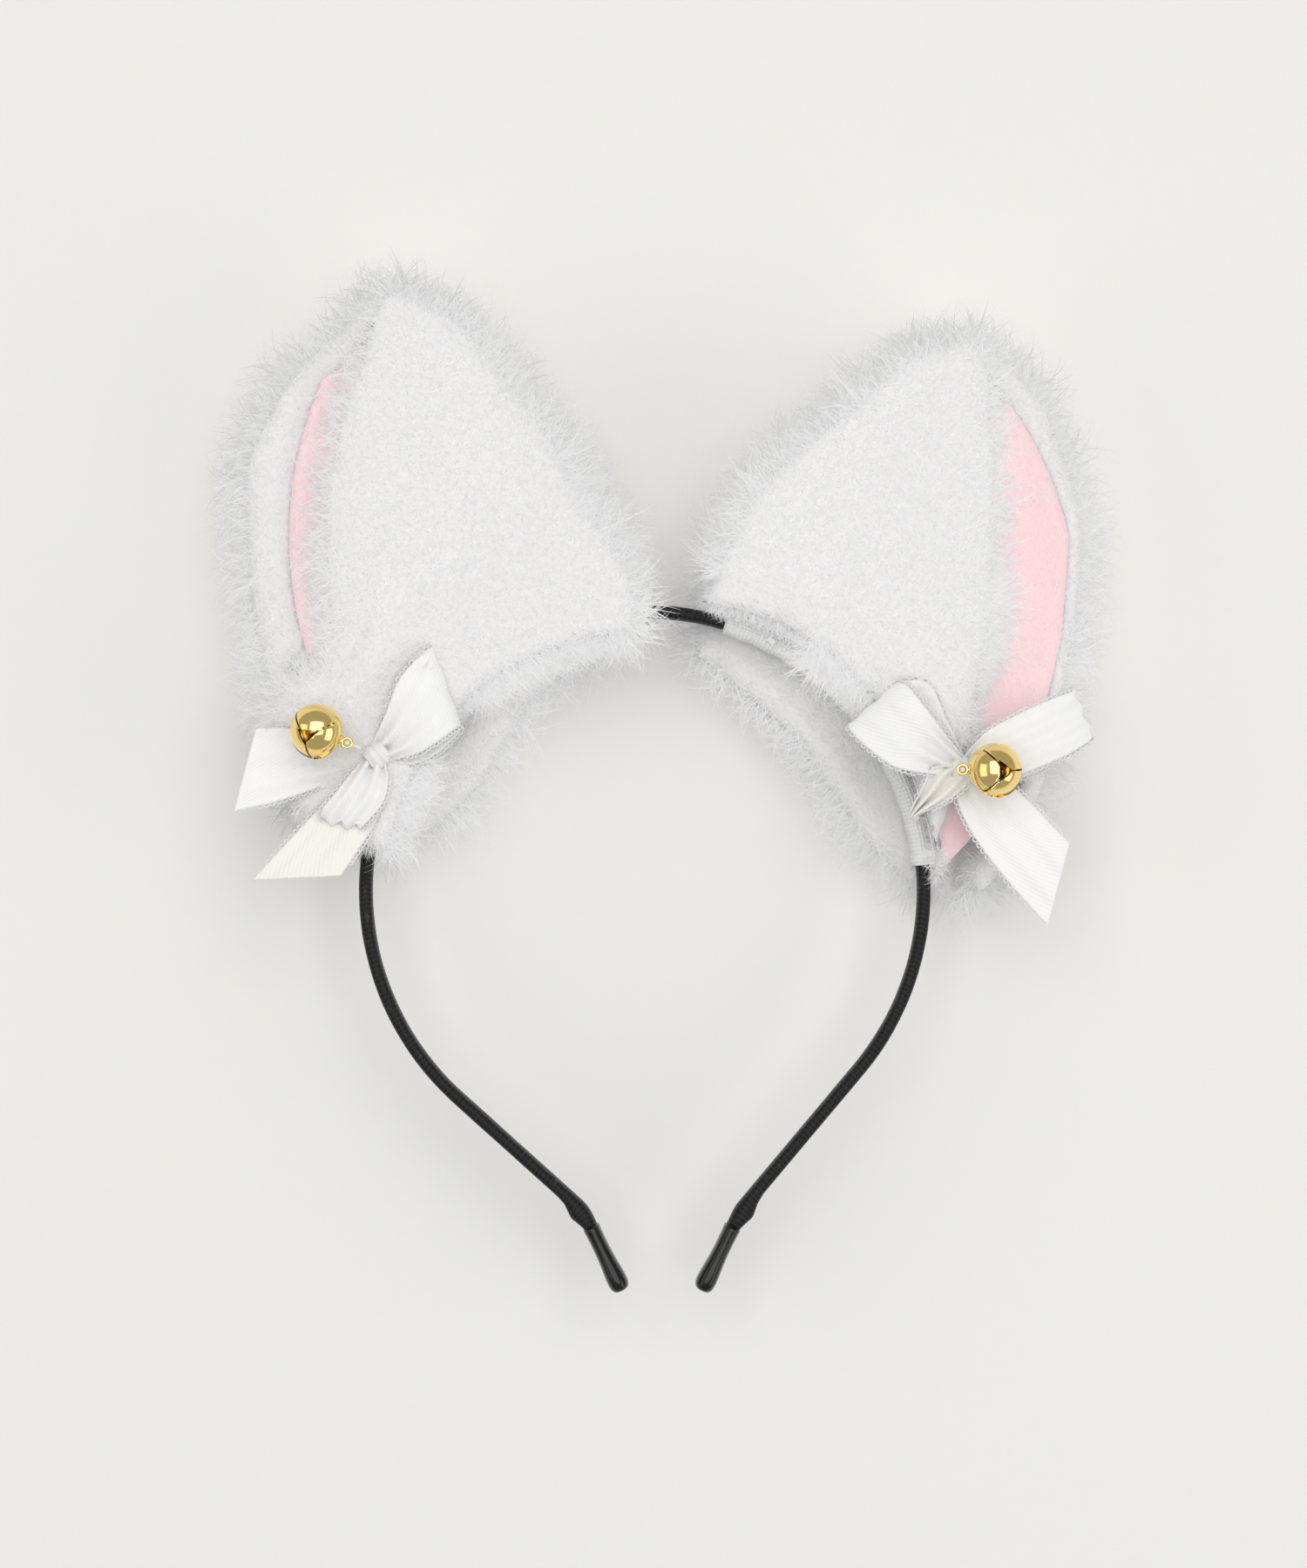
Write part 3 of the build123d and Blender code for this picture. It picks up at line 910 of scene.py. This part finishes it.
def make_casing(side, finishes):
    """Knitted elastic tube round the band, a little crumpled, open at both ends."""
    low, high = CASING_SPAN[side]
    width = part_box(side + "_casing")[1].y * 2 - 0.4 * MM
    stations = []
    for step in range(CASING_STEPS + 1):
        angle = low + (high - low) * step / CASING_STEPS
        length = math.radians(angle) * BAND_RADIUS
        matrix, _ = band_station(side, angle, length)
        ripple = noise.noise(Vector((length * 300, 0, 0)))
        crumple = 1.0 + CRUMPLE * math.sin(length * 900) + CRUMPLE * ripple
        flare = 1.0 + CRUMPLE * (step in (0, CASING_STEPS))
        size = Matrix.Diagonal((1.0, crumple * flare, 1.0, 1.0))
        stations.append((matrix @ size, length))
    profile = rounded_profile(width, CASING_THICKNESS, 2.8, 28)
    bm = sweep(profile, stations, True)
    casing = new_piece(side + "_elastic_casing", bm, finishes["knit"], side + "_casing")
    thicken(casing, CASING_WALL, -1.0)
    girth = sum(math.dist(a, b) for a, b in zip(profile, profile[1:] + profile[:1]))
    stations[-1][1] - stations[0][1]
    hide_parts(side + "_casing")


# ------------------------------------------------------------------------------------- bows
# Each ribbon: stations of (left edge x, z), (right edge x, z) and depth y, in millimetres
# from the middle of the knot, as seen from the front.
RIBBONS = {
    "left": {
        "loop_upper": ("left_bow_loop_upper", "white", (
            ((-1.0, 2.2), (2.2, -1.2), -2.2), ((2.0, 9.0), (8.5, -0.2), -3.9),
            ((5.2, 17.0), (13.6, 2.6), -4.4), ((10.4, 22.8), (17.4, 5.4), -3.6),
            ((12.4, 24.2), (18.8, 6.2), -2.2), ((11.6, 23.0), (18.6, 5.0), -0.9),
            ((7.0, 15.6), (13.6, 0.2), -0.2), ((3.0, 8.0), (8.2, -2.2), 0.0),
            ((-0.6, 1.8), (2.2, -1.6), 0.4))),
        "loop_lower": ("left_bow_loop_lower", "white", (
            ((1.4, -0.6), (-1.2, 0.8), -2.4), ((2.6, -5.6), (-5.4, -3.6), -3.0),
            ((1.6, -10.6), (-9.4, -8.8), -3.4), ((-1.2, -14.2), (-12.2, -12.2), -2.9),
            ((-3.4, -16.4), (-12.6, -14.4), -2.0), ((-2.6, -15.6), (-10.8, -14.2), -1.2),
            ((0.6, -10.0), (-6.0, -9.6), -0.7), ((1.8, -4.6), (-2.6, -4.6), -0.6),
            ((1.2, -0.8), (-0.8, 0.6), -0.4))),
        "tail_side": ("left_bow_tail_side", "white", (
            ((-0.6, -1.6), (-1.2, 1.6), 0.8), ((-7.0, -5.0), (-8.4, 2.6), 0.5),
            ((-14.6, -8.0), (-14.0, 4.8), 0.2), ((-23.0, -10.8), (-20.4, 6.0), -0.2),
            ((-32.4, -13.0), (-27.4, 6.0), -0.5))),
        "tail_lower": ("left_bow_tail_lower", "cream", (
            ((1.2, -1.0), (-1.2, 1.0), 0.5), ((2.2, -8.0), (-7.4, -6.6), 0.2),
            ((-0.2, -15.0), (-13.4, -12.4), 0.0), ((-4.0, -21.2), (-20.4, -19.8), -0.2),
            ((-8.2, -27.4), (-28.4, -28.4), -0.5))),
    },
    "right": {
        "loop_upper": ("right_bow_loop_upper", "white", (
            ((-1.2, -1.2), (1.0, 2.0), -2.2), ((-8.6, -0.8), (-4.6, 9.0), -4.0),
            ((-15.6, 0.6), (-9.6, 15.4), -4.6), ((-21.8, 5.0), (-12.6, 19.0), -3.8),
            ((-25.6, 9.0), (-14.6, 19.8), -2.4), ((-25.0, 9.6), (-13.0, 20.2), -1.0),
            ((-18.6, 4.4), (-7.4, 19.4), -0.4), ((-9.0, 0.6), (-3.6, 11.6), 0.0),
            ((-1.2, -1.0), (1.0, 1.8), 0.4))),
        "loop_side": ("right_bow_loop_side", "white", (
            ((-0.6, 1.8), (0.6, -1.8), -2.0), ((4.8, 8.2), (7.0, -2.6), -3.0),
            ((12.0, 12.4), (13.6, -0.8), -3.8), ((19.4, 15.8), (22.0, 2.6), -3.8),
            ((24.4, 17.6), (28.0, 6.0), -2.4), ((24.0, 18.0), (28.8, 7.2), -1.0),
            ((17.4, 14.0), (21.6, 2.2), -0.3), ((9.0, 9.0), (11.6, -2.4), 0.0),
            ((-0.6, 1.6), (0.8, -1.6), 0.4))),
        "tail_lower": ("right_bow_tail_lower", "white", (
            ((1.8, 0.8), (-1.6, -0.8), 0.4), ((9.4, -2.2), (-1.4, -6.4), 0.0),
            ((15.8, -7.8), (2.4, -14.8), -0.4), ((20.6, -12.8), (10.0, -25.0), -0.6),
            ((24.2, -16.4), (19.2, -35.4), -0.9))),
        "tail_side": ("right_bow_tail_side", "cream", (
            ((1.8, -0.4), (-2.0, 1.0), -3.6), ((0.8, -3.4), (-7.0, 0.4), -4.0),
            ((-3.8, -7.2), (-9.0, -3.4), -3.0), ((-10.8, -10.4), (-12.2, -10.2), -1.6))),
    },
}
RIBBON_WIDTH = 16 * MM
RIBBON_THICKNESS = 0.32 * MM
RIBBON_STEPS = 56
PICOT_STEP = 1.25 * MM
PICOT_SIZE = 0.6 * MM
PICOT_THREAD = 0.19 * MM
PICOT_START = 3.5 * MM          # no picots this near the knot
PLEATS = 2.5
PLEAT_STEPS = 24
PLEAT_LEAST = 0.18 * MM
OPEN_WIDTH = 13 * MM            # a ribbon drawn in below this width stands up in pleats
GATHER_RANGE = 7 * MM


def spread(controls, t):
    """Smooth value through evenly spaced controls, t from 0 to 1."""
    at = t * (len(controls) - 1)
    i = min(int(at), len(controls) - 2)
    f = at - i
    a, b, c, d = (controls[min(max(i + k, 0), len(controls) - 1)] for k in (-1, 0, 1, 2))
    return tuple(0.5 * (2 * q + (r - p) * f + (2 * p - 5 * q + 4 * r - s) * f * f
                        + (3 * q - p - 3 * r + s) * f ** 3) for p, q, r, s in zip(a, b, c, d))


def ribbon_stations(knot, controls):
    """Stations along a ribbon; x spans its width and its middle is cupped by the profile."""
    flat = [(a[0], a[1], b[0], b[1], y) for a, b, y in controls]
    edges = []
    for step in range(RIBBON_STEPS + 1):
        ax, az, bx, bz, y = spread(flat, step / RIBBON_STEPS)
        edges.append((knot + Vector((ax, y, az)) * MM, knot + Vector((bx, y, bz)) * MM))
    middles = [(a + b) / 2 for a, b in edges]
    stations, length = [], 0.0
    for index, (a, b) in enumerate(edges):
        before, after = middles[max(index - 1, 0)], middles[min(index + 1, RIBBON_STEPS)]
        ahead = unit(after - before)
        out = unit((b - a).cross(ahead))
        if index:
            length += (middles[index] - middles[index - 1]).length
        depth = pleat_depth((b - a).length)
        stations.append((station(middles[index], b - a, out * depth, ahead), length))
    return stations


def pleat_depth(width):
    """Depth of the gathers that takes up the ribbon's full width where it's drawn in."""
    slack = math.sqrt(max(0.0, RIBBON_WIDTH ** 2 - width ** 2)) / (4 * PLEATS)
    drawn_in = share((OPEN_WIDTH - width) / GATHER_RANGE)
    return max(PLEAT_LEAST, slack * (0.25 + 0.75 * drawn_in))


def ribbon_profile(shift):
    """Across a ribbon from edge to edge: gathers of unit depth that flatten at the selvedges."""
    points = []
    for step in range(PLEAT_STEPS + 1):
        t = step / PLEAT_STEPS
        fold = math.cos(math.tau * PLEATS * t + shift) * (1 - 0.5 * abs(2 * t - 1) ** 3)
        points.append((t - 0.5, fold))
    return points


def add_picots(bm, stations):
    """Tiny thread loops along both edges of a ribbon."""
    count = int((stations[-1][1] - 2 * PICOT_START) / PICOT_STEP)
    for index in range(count):
        along = PICOT_START + (index + 0.5) * PICOT_STEP
        near = min(range(1, len(stations) - 1), key=lambda i: abs(stations[i][1] - along))
        matrix, length = stations[near]
        ahead = matrix.col[2].xyz
        for edge in (-0.5, 0.5):
            side = unit(matrix.col[0].xyz) * (1 if edge > 0 else -1)
            place = matrix @ Vector((edge, 0, 0)) + ahead * (along - length)
            out = ahead.cross(side)
            start = station(place, side, out, ahead) @ Matrix.Translation((0, 0, PICOT_SIZE))
            ring = bmesh.ops.create_circle(bm, segments=5, radius=PICOT_THREAD,
                                           matrix=start @ Matrix.Rotation(math.pi / 2, 4, "Y"))
            loop = ring["verts"] + list({e for v in ring["verts"] for e in v.link_edges})
            bmesh.ops.spin(bm, geom=loop, cent=place, axis=out, angle=math.pi, steps=6)


def make_ribbon(side, name, finishes, knot, extras=()):
    """One loop or tail of a bow, with its picots, pleated so it keeps its full woven width."""
    node, tint, controls = RIBBONS[side][name]
    stations = ribbon_stations(knot, controls)
    looped = name.startswith("loop")
    bm = sweep(ribbon_profile(0.6 if looped else 2.2), stations, False, span=RIBBON_WIDTH)
    ribbon = new_piece(side + "_" + name, bm, finishes[tint], side + "_ear")
    thicken(ribbon, RIBBON_THICKNESS)
    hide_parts(node)
    # The picots take the greyed thread: painted shade between the tiny loops along the edges.
    trim = bmesh.new()
    add_picots(trim, stations)
    bmesh.ops.recalc_face_normals(trim, faces=trim.faces)
    picots = new_piece(side + "_" + name + "_picots", trim, finishes["trim"], side + "_ear")


KNOT_LEAN = {"left": 38.0, "right": 8.0}
KNOT_RADIUS = 2.5
KNOT_WIDTH = 5.2 * MM
KNOT_FORWARD = 2.2 * MM
KNOT_STEPS = 40


def make_knot(side, finishes, knot):
    """Ribbon wrapped round the gathered middle, creased along its length."""
    lean = math.radians(KNOT_LEAN[side])
    axis = Vector((math.cos(lean), 0, math.sin(lean)))
    stations = []
    for step in range(KNOT_STEPS + 1):
        angle = math.tau * step / KNOT_STEPS
        radial = Vector((0, -math.cos(angle), 0)) + Vector((-axis.z, 0, axis.x)) * math.sin(angle)
        reach = (KNOT_RADIUS + 0.15 * math.sin(3 * angle)) * MM
        place = knot + radial * reach - Vector((0, KNOT_FORWARD, 0))
        ahead = unit(axis.cross(radial))
        stations.append((station(place, axis * KNOT_WIDTH, radial * MM, ahead), reach * angle))
    profile = [(step / 16 - 0.5, 0.5 + 0.22 * math.cos(step * math.tau / 5.3)
                - 1.3 * (2 * step / 16 - 1) ** 4) for step in range(17)]
    bm = sweep(profile, stations, False, span=RIBBON_WIDTH)
    bmesh.ops.remove_doubles(bm, verts=bm.verts, dist=1e-6)
    bmesh.ops.recalc_face_normals(bm, faces=bm.faces)
    wrap = new_piece(side + "_knot_wrap", bm, finishes["white"], side + "_ear")
    thicken(wrap, RIBBON_THICKNESS, -1.0)
    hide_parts(side + "_bow_knot")
    return wrap


def make_bow(side, finishes):
    """A knot and the ribbons that come out of it, in front of the ear's fur."""
    low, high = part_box(side + "_bow_knot")
    knot = (low + high) / 2
    knot.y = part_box(side + "_ear_front")[0].y - 1.1 * MM
    wrap = make_knot(side, finishes, knot)
    for name in RIBBONS[side]:
        make_ribbon(side, name, finishes, knot, [wrap] if name == "loop_upper" else [])


# ----------------------------------------------------------------------------------- lining
LINING_GRID = 3.0 * MM
LINING_HOLLOW = 2.2 * MM
LINING_FRONT = 3.4 * MM         # in front of the lining's place in the frame
LINING_SOFT_EDGE = 7 * MM
LINING_THICKNESS = 0.6 * MM
LINING_SHOWN = {"left": 0.84, "right": 1.0}
LINING_CAUGHT = 1.5 * MM        # caught under the rim at the edge
FOOT_TOP = -28 * MM             # the lining's foot is folded in below this height
FOOT_LENGTH = 14 * MM
FOOT_IN = 3.2 * MM
FOOT_FORWARD = 1.0 * MM


def make_lining(side, finishes):
    """Pink velvet sheet, gently hollow, whose edge is caught under the white rim."""
    node = side + "_ear_lining"
    bm = copy_of_node(node)
    front = [f for f in bm.faces if f.normal.y < -0.9]
    bmesh.ops.delete(bm, geom=[f for f in bm.faces if f not in set(front)], context="FACES")
    bmesh.ops.dissolve_limit(bm, angle_limit=0.05, verts=bm.verts, edges=bm.edges)
    flat, area = cut_size(bm)
    low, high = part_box(node)
    for axis in (0, 2):
        place = low[axis] + LINING_GRID
        while place < high[axis]:
            plane = Vector((0, 0, 0))
            plane[axis] = 1.0
            bmesh.ops.bisect_plane(bm, geom=bm.verts[:] + bm.edges[:] + bm.faces[:],
                                   plane_co=plane * place, plane_no=plane)
            place += LINING_GRID
    bmesh.ops.triangulate(bm, faces=bm.faces)
    middle = (low + high) / 2
    edge = [v for v in bm.verts if v.is_boundary]
    for vert in bm.verts:
        near = min((vert.co - other.co).length for other in edge)
        sunk = LINING_HOLLOW * min(1.0, near / LINING_SOFT_EDGE) ** 0.6
        vert.co.y = low.y - LINING_FRONT + sunk
        vert.co.y += noise.noise(vert.co * 55.0) * 0.5 * MM
    for vert in bm.verts:
        down = share((FOOT_TOP - vert.co.z) / FOOT_LENGTH)
        vert.co += Vector((-SIGN[side] * FOOT_IN, -FOOT_FORWARD, 0)) * down
    inner = high.x if side == "left" else low.x
    for vert in bm.verts:
        vert.co.x = inner + (vert.co.x - inner) * LINING_SHOWN[side]
    for vert in edge:
        vert.co += unit(Vector((vert.co.x - middle.x, 0, 0))) * LINING_CAUGHT
    bmesh.ops.smooth_vert(bm, verts=[v for v in bm.verts if not v.is_boundary], factor=0.5,
                          use_axis_x=True, use_axis_y=True, use_axis_z=True)
    bmesh.ops.recalc_face_normals(bm, faces=bm.faces)
    sheet = new_piece(side + "_velvet_lining", bm, finishes["velvet"], side + "_ear")
    thicken(sheet, LINING_THICKNESS)
    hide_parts(node)


def cut_size(bm):
    """Width and length of the cut along its longest line, and its area."""
    corners = [vert.co.copy() for vert in bm.verts]
    pairs = [(a, b) for a in corners for b in corners]
    first, last = max(pairs, key=lambda pair: (pair[0] - pair[1]).length)
    ahead = unit(last - first)
    across = ahead.cross(Vector((0, 1, 0)))
    lengths = [corner.dot(ahead) for corner in corners]
    widths = [corner.dot(across) for corner in corners]
    flat = (max(widths) - min(widths), max(lengths) - min(lengths))
    return flat, sum(face.calc_area() for face in bm.faces)


# ------------------------------------------------------------------------------------ bells
# Way the opening faces, and the directions of its slits round it in degrees.
BELL_FACING = {"left": ((-0.36, -0.9, -0.22), (128, 262, 20)),
               "right": ((0.3, -0.95, -0.05), (2, 130, 236))}
BELL_WALL = 0.45 * MM
SLIT_WIDTH = 0.42 * MM
SLIT_REACH = 74.0
MOUTH = 1.25 * MM


def ray_at(angle):
    """Direction round the bell's mouth, from degrees."""
    a = math.radians(angle)
    return Vector((math.cos(a), math.sin(a), 0))


def cut_and_clear(bm, planes, inside):
    """Cut the shell along planes and take away the faces whose middle is inside."""
    for co, no in planes:
        near = [f for f in bm.faces if f.calc_center_median().z > -0.1 * MM]
        geom = {item for f in near for item in list(f.verts) + list(f.edges)} | set(near)
        bmesh.ops.bisect_plane(bm, geom=list(geom), plane_co=co, plane_no=no)
    gone = [f for f in bm.faces if inside(f.calc_center_median())]
    bmesh.ops.delete(bm, geom=gone, context="FACES")


def make_bell(side, finishes):
    """Round shell whose petals leave a three-cornered mouth and three slits."""
    low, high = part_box(side + "_bell_shell")
    centre, radius = (low + high) / 2, (high.x - low.x) / 2
    facing, slits = BELL_FACING[side]
    bm = bmesh.new()
    bmesh.ops.create_uvsphere(bm, u_segments=56, v_segments=36, radius=radius)
    reach = radius * math.cos(math.radians(SLIT_REACH))
    for angle in slits:
        ray, flank = ray_at(angle), ray_at(angle + 90)
        planes = [(flank * (SLIT_WIDTH / 2), flank), (flank * (-SLIT_WIDTH / 2), flank),
                  (Vector((0, 0, reach)), Vector((0, 0, 1)))]
        cut_and_clear(bm, planes, lambda c, ray=ray, flank=flank: c.z > reach and c.dot(ray) > 0
                      and abs(c.dot(flank)) < SLIT_WIDTH / 2)
    sides = [ray_at(angle + 180) for angle in slits]
    cut_and_clear(bm, [(s * MOUTH, s) for s in sides],
                  lambda c: c.z > 0 and all(c.dot(s) < MOUTH for s in sides))
    turn = Vector(facing).normalized()
    across = unit(Vector((0, 0, 1)).cross(turn))
    bmesh.ops.transform(bm, matrix=station(centre, across, turn.cross(across), turn),
                        verts=bm.verts)
    bmesh.ops.recalc_face_normals(bm, faces=bm.faces)
    shell = new_piece(side + "_gold_bell", bm, finishes["gold"], side + "_bell")
    thicken(shell, BELL_WALL, -1.0)
    bevel = shell.modifiers.new("Lip", "BEVEL")
    bevel.width, bevel.segments, bevel.limit_method = 0.1 * MM, 2, "ANGLE"
    bevel.angle_limit = math.radians(50)
    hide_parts(side + "_bell_shell")


# ------------------------------------------------------------------------------ small pieces
def finish_small_nodes():
    """Better materials for the pieces that stay as they were built."""
    looks = {
        "spring_strip": plain_finish("Blued spring strip", (0.2, 0.21, 0.23), 0.3, 600, 1.0),
        "stay_boning": plain_finish("White plastic boning", (0.82, 0.82, 0.8), 0.45, 300),
        "sewing_thread": plain_finish("White sewing thread", (0.9, 0.9, 0.88), 0.65, 1500),
        "bell_metal": gold_finish(),
        "pellet_steel": plain_finish("Steel pellet", (0.55, 0.54, 0.52), 0.25, 500, 1.0),
    }
    kinds = {"core": "spring_strip", "stay": "stay_boning", "tacks": "sewing_thread",
             "thread": "sewing_thread", "shank": "bell_metal", "pellet": "pellet_steel"}
    for name, node in frame["nodes"].items():
        kind = kinds.get(name.rsplit("_", 1)[-1])
        if kind:
            for slot in node.material_slots:
                slot.material = looks[kind]


# ------------------------------------------------------------------------------------ stage
VIEW_MIDDLE = Vector((2 * MM, 0, -38 * MM))
VIEW_HEIGHT = 360 * MM
CAMERA_DISTANCE = 1.0
CAMERA_SENSOR = 36.0
BACKDROP_GAP = 7 * MM


def area_light(name, place, aim, size, power, colour=(1, 1, 1)):
    data = bpy.data.lights.new(name, "AREA")
    data.shape = "RECTANGLE"
    data.size, data.size_y = size
    data.energy = power
    data.color = colour
    light = linked(name, data)
    light.location = place
    light.rotation_euler = (Vector(aim) - Vector(place)).to_track_quat("-Z", "Y").to_euler()


def backdrop_finish():
    """Warm off-white sheet that can't be seen from behind."""
    finish = Finish("Pale sheet", colours().backdrop)
    grain = finish.noise(260, 3)
    low = [c * 0.985 for c in colours().backdrop]
    finish.close(finish.blend(grain, low, colours().backdrop), 0.75 + grain * 0.1)
    behind = finish.add("ShaderNodeNewGeometry")["Backfacing"]
    clear = finish.add("ShaderNodeBsdfTransparent")[0]
    mix = finish.add("ShaderNodeMixShader", None, {0: behind, 2: clear})
    tree = finish.material.node_tree
    tree.links.new(finish.shader.outputs[0], mix.node.inputs[1])
    tree.links.new(mix.node.outputs[0], finish.nodes["Material Output"].inputs[0])
    return finish.material


LIGHT_AIM = (0, 0, -0.03)
WORLD_STRENGTH = 0.39
BACKDROP_SIZE = 3.0


def make_stage():
    """Pale sheet behind the headband, camera square to it, and four soft lights."""
    scene = bpy.context.scene
    back = CAD_BOX[1][1] + BACKDROP_GAP
    bm = bmesh.new()
    turn = Matrix.Translation((0, back, VIEW_MIDDLE.z)) @ Matrix.Rotation(math.pi / 2, 4, "X")
    bmesh.ops.create_grid(bm, x_segments=1, y_segments=1, size=BACKDROP_SIZE,
                          matrix=turn)
    sheet = linked("backdrop", mesh_of(bm, "backdrop"))
    sheet.data.materials.append(backdrop_finish())
    sheet.visible_shadow = False

    camera = linked("camera", bpy.data.cameras.new("camera"))
    camera.data.sensor_width = CAMERA_SENSOR
    camera.data.lens = CAMERA_SENSOR * CAMERA_DISTANCE / VIEW_HEIGHT
    camera.location = VIEW_MIDDLE - Vector((0, CAMERA_DISTANCE, 0))
    camera.rotation_euler = (math.pi / 2, 0, 0)
    scene.camera = camera

    aim = LIGHT_AIM
    area_light("front softbox", (0.1, -1.7, 0.25), aim, (1.8, 1.8), 19.0, (1.0, 0.995, 0.98))
    area_light("left softbox", (-1.1, -0.75, -0.1), aim, (0.8, 1.2), 2.6, (1.0, 0.99, 0.97))
    area_light("right softbox", (1.2, -0.7, -0.45), aim, (0.8, 1.2), 4.2, (1.0, 0.99, 0.98))
    area_light("rear fill", (0.2, 1.3, 0.5), aim, (1.5, 1.5), 10.0)
    world = bpy.data.worlds.new("studio")
    scene.world = world
    world.use_nodes = True
    sky = world.node_tree.nodes["Background"]
    sky.inputs[0].default_value = (1.0, 1.0, 1.0, 1.0)
    sky.inputs[1].default_value = WORLD_STRENGTH
    scene.view_settings.view_transform = "Standard"


# ------------------------------------------------------------------------------- settings
def tint(name, text, default):
    return FloatVectorProperty(name=name, description=text, default=default, subtype="COLOR",
                               min=0.0, max=1.0)


class HeadbandSizes(bpy.types.PropertyGroup):
    pile_length: FloatProperty(
        name="Pile length", description="Length of the long pile, in millimetres",
        default=10.0, min=3.0, max=16.0)
    strands_per_coat: IntProperty(
        name="Strands", description="Hairs in each coat of fur", default=11500, min=500,
        max=12400)
    panel_rounding: IntProperty(
        name="Rounding", description="Passes that round off the edges of the ear panels",
        default=6, min=0, max=20)


class HeadbandColours(bpy.types.PropertyGroup):
    # Root colour of the pile is painted shade deep in the pile.
    fur_root_shade: tint("Fur root shade", "Painted shade of the pile at its root", (0.8, 0.8, 0.81))
    fur_tip: tint("Fur tip", "Colour of the pile at its tip", (0.93, 0.925, 0.93))
    lining: tint("Lining", "Pale side of the velvet lining", (1.0, 0.77, 0.8))
    lining_deep: tint("Deep lining", "Brushed side of the velvet lining", (0.98, 0.67, 0.71))
    ribbon: tint("Ribbon", "Satin ribbon", (0.89, 0.89, 0.885))
    gold: tint("Gold", "Bright side of the bells", (1.0, 0.8, 0.36))
    gold_deep: tint("Deep gold", "Deep side of the bells", (1.0, 0.7, 0.22))
    backdrop: tint("Backdrop", "Pale sheet behind the object", (0.85, 0.848, 0.818))


# ------------------------------------------------------------------------------ operators
class HEADBAND_OT_stage(bpy.types.Operator):
    """Add the pale backdrop, the soft lights and the camera"""
    bl_idname = "headband.stage"
    bl_label = "Stage"

    def execute(self, context):
        make_stage()
        return {"FINISHED"}


class HEADBAND_OT_ears(bpy.types.Operator):
    """Make the plush panels of both ears and their long pile"""
    bl_idname = "headband.ears"
    bl_label = "Ears"

    def execute(self, context):
        finishes = {"backing": backing_finish(), "fur": fur_finish()}
        for side in SIDES:
            make_ears(side, finishes)
        return {"FINISHED"}


class HEADBAND_OT_linings(bpy.types.Operator):
    """Make the velvet linings that show in the open sides of the ears"""
    bl_idname = "headband.linings"
    bl_label = "Linings"

    def execute(self, context):
        velvet = velvet_finish()
        for side in SIDES:
            make_lining(side, {"velvet": velvet})
        return {"FINISHED"}


class HEADBAND_OT_cover(bpy.types.Operator):
    """Make the satin tape wound round the band"""
    bl_idname = "headband.cover"
    bl_label = "Tape cover"

    def execute(self, context):
        make_cover({"tape": tape_finish()})
        return {"FINISHED"}


class HEADBAND_OT_caps(bpy.types.Operator):
    """Make the dipped rubber caps at the ends of the band"""
    bl_idname = "headband.caps"
    bl_label = "Caps"

    def execute(self, context):
        rubber = rubber_finish()
        for side in SIDES:
            make_cap(side, {"rubber": rubber})
        return {"FINISHED"}


class HEADBAND_OT_casings(bpy.types.Operator):
    """Make the knitted elastic casings that hold the ears on the band"""
    bl_idname = "headband.casings"
    bl_label = "Casings"

    def execute(self, context):
        knit = knit_finish()
        for side in SIDES:
            make_casing(side, {"knit": knit})
        return {"FINISHED"}


class HEADBAND_OT_bows(bpy.types.Operator):
    """Make the ribbon bows with their picot edges"""
    bl_idname = "headband.bows"
    bl_label = "Bows"

    def execute(self, context):
        ribbon = colours().ribbon
        cream = (ribbon[0], ribbon[1] * 0.98, ribbon[2] * 0.93)
        finishes = {
            "white": satin_finish("White satin ribbon", ribbon),
            "cream": satin_finish("Cream satin ribbon", cream),
            # Picot thread a little greyer than the ribbon: painted shade between the tiny loops on
            # its edges.
            "trim": plain_finish("Picot thread greyed as painted shade", (0.86, 0.86, 0.86), 0.5, 700),
        }
        for side in SIDES:
            make_bow(side, finishes)
        return {"FINISHED"}


class HEADBAND_OT_bells(bpy.types.Operator):
    """Make the gold jingle bells"""
    bl_idname = "headband.bells"
    bl_label = "Bells"

    def execute(self, context):
        gold = gold_finish()
        for side in SIDES:
            make_bell(side, {"gold": gold})
        return {"FINISHED"}


class HEADBAND_OT_small_pieces(bpy.types.Operator):
    """Finish the spring strip, boning, stitches, threads, shanks and pellets"""
    bl_idname = "headband.small_pieces"
    bl_label = "Small pieces"

    def execute(self, context):
        finish_small_nodes()
        return {"FINISHED"}


OPERATORS = (HEADBAND_OT_stage, HEADBAND_OT_ears, HEADBAND_OT_linings, HEADBAND_OT_cover,
             HEADBAND_OT_caps, HEADBAND_OT_casings, HEADBAND_OT_bows, HEADBAND_OT_bells,
             HEADBAND_OT_small_pieces)


class HEADBAND_PT_panel(bpy.types.Panel):
    """Sidebar panel with the sizes, colours and makers of the headband"""
    bl_idname = "HEADBAND_PT_panel"
    bl_label = "Animal Ears Headband"
    bl_space_type = "VIEW_3D"
    bl_region_type = "UI"
    bl_category = "Headband"

    def draw(self, context):
        for group in (context.scene.headband_sizes, context.scene.headband_colours):
            for name in group.__annotations__:
                self.layout.prop(group, name)
        for operator in OPERATORS:
            self.layout.operator(operator.bl_idname)


CLASSES = (HeadbandSizes, HeadbandColours, *OPERATORS, HEADBAND_PT_panel)


def register():
    for cls in CLASSES:
        bpy.utils.register_class(cls)
    bpy.types.Scene.headband_sizes = PointerProperty(type=HeadbandSizes)
    bpy.types.Scene.headband_colours = PointerProperty(type=HeadbandColours)


def unregister():
    del bpy.types.Scene.headband_sizes
    del bpy.types.Scene.headband_colours
    for cls in reversed(CLASSES):
        bpy.utils.unregister_class(cls)


def main():
    register()
    for operator in OPERATORS:
        getattr(bpy.ops.headband, operator.bl_idname.split(".")[1])()


if __name__ == "__main__":
    main()
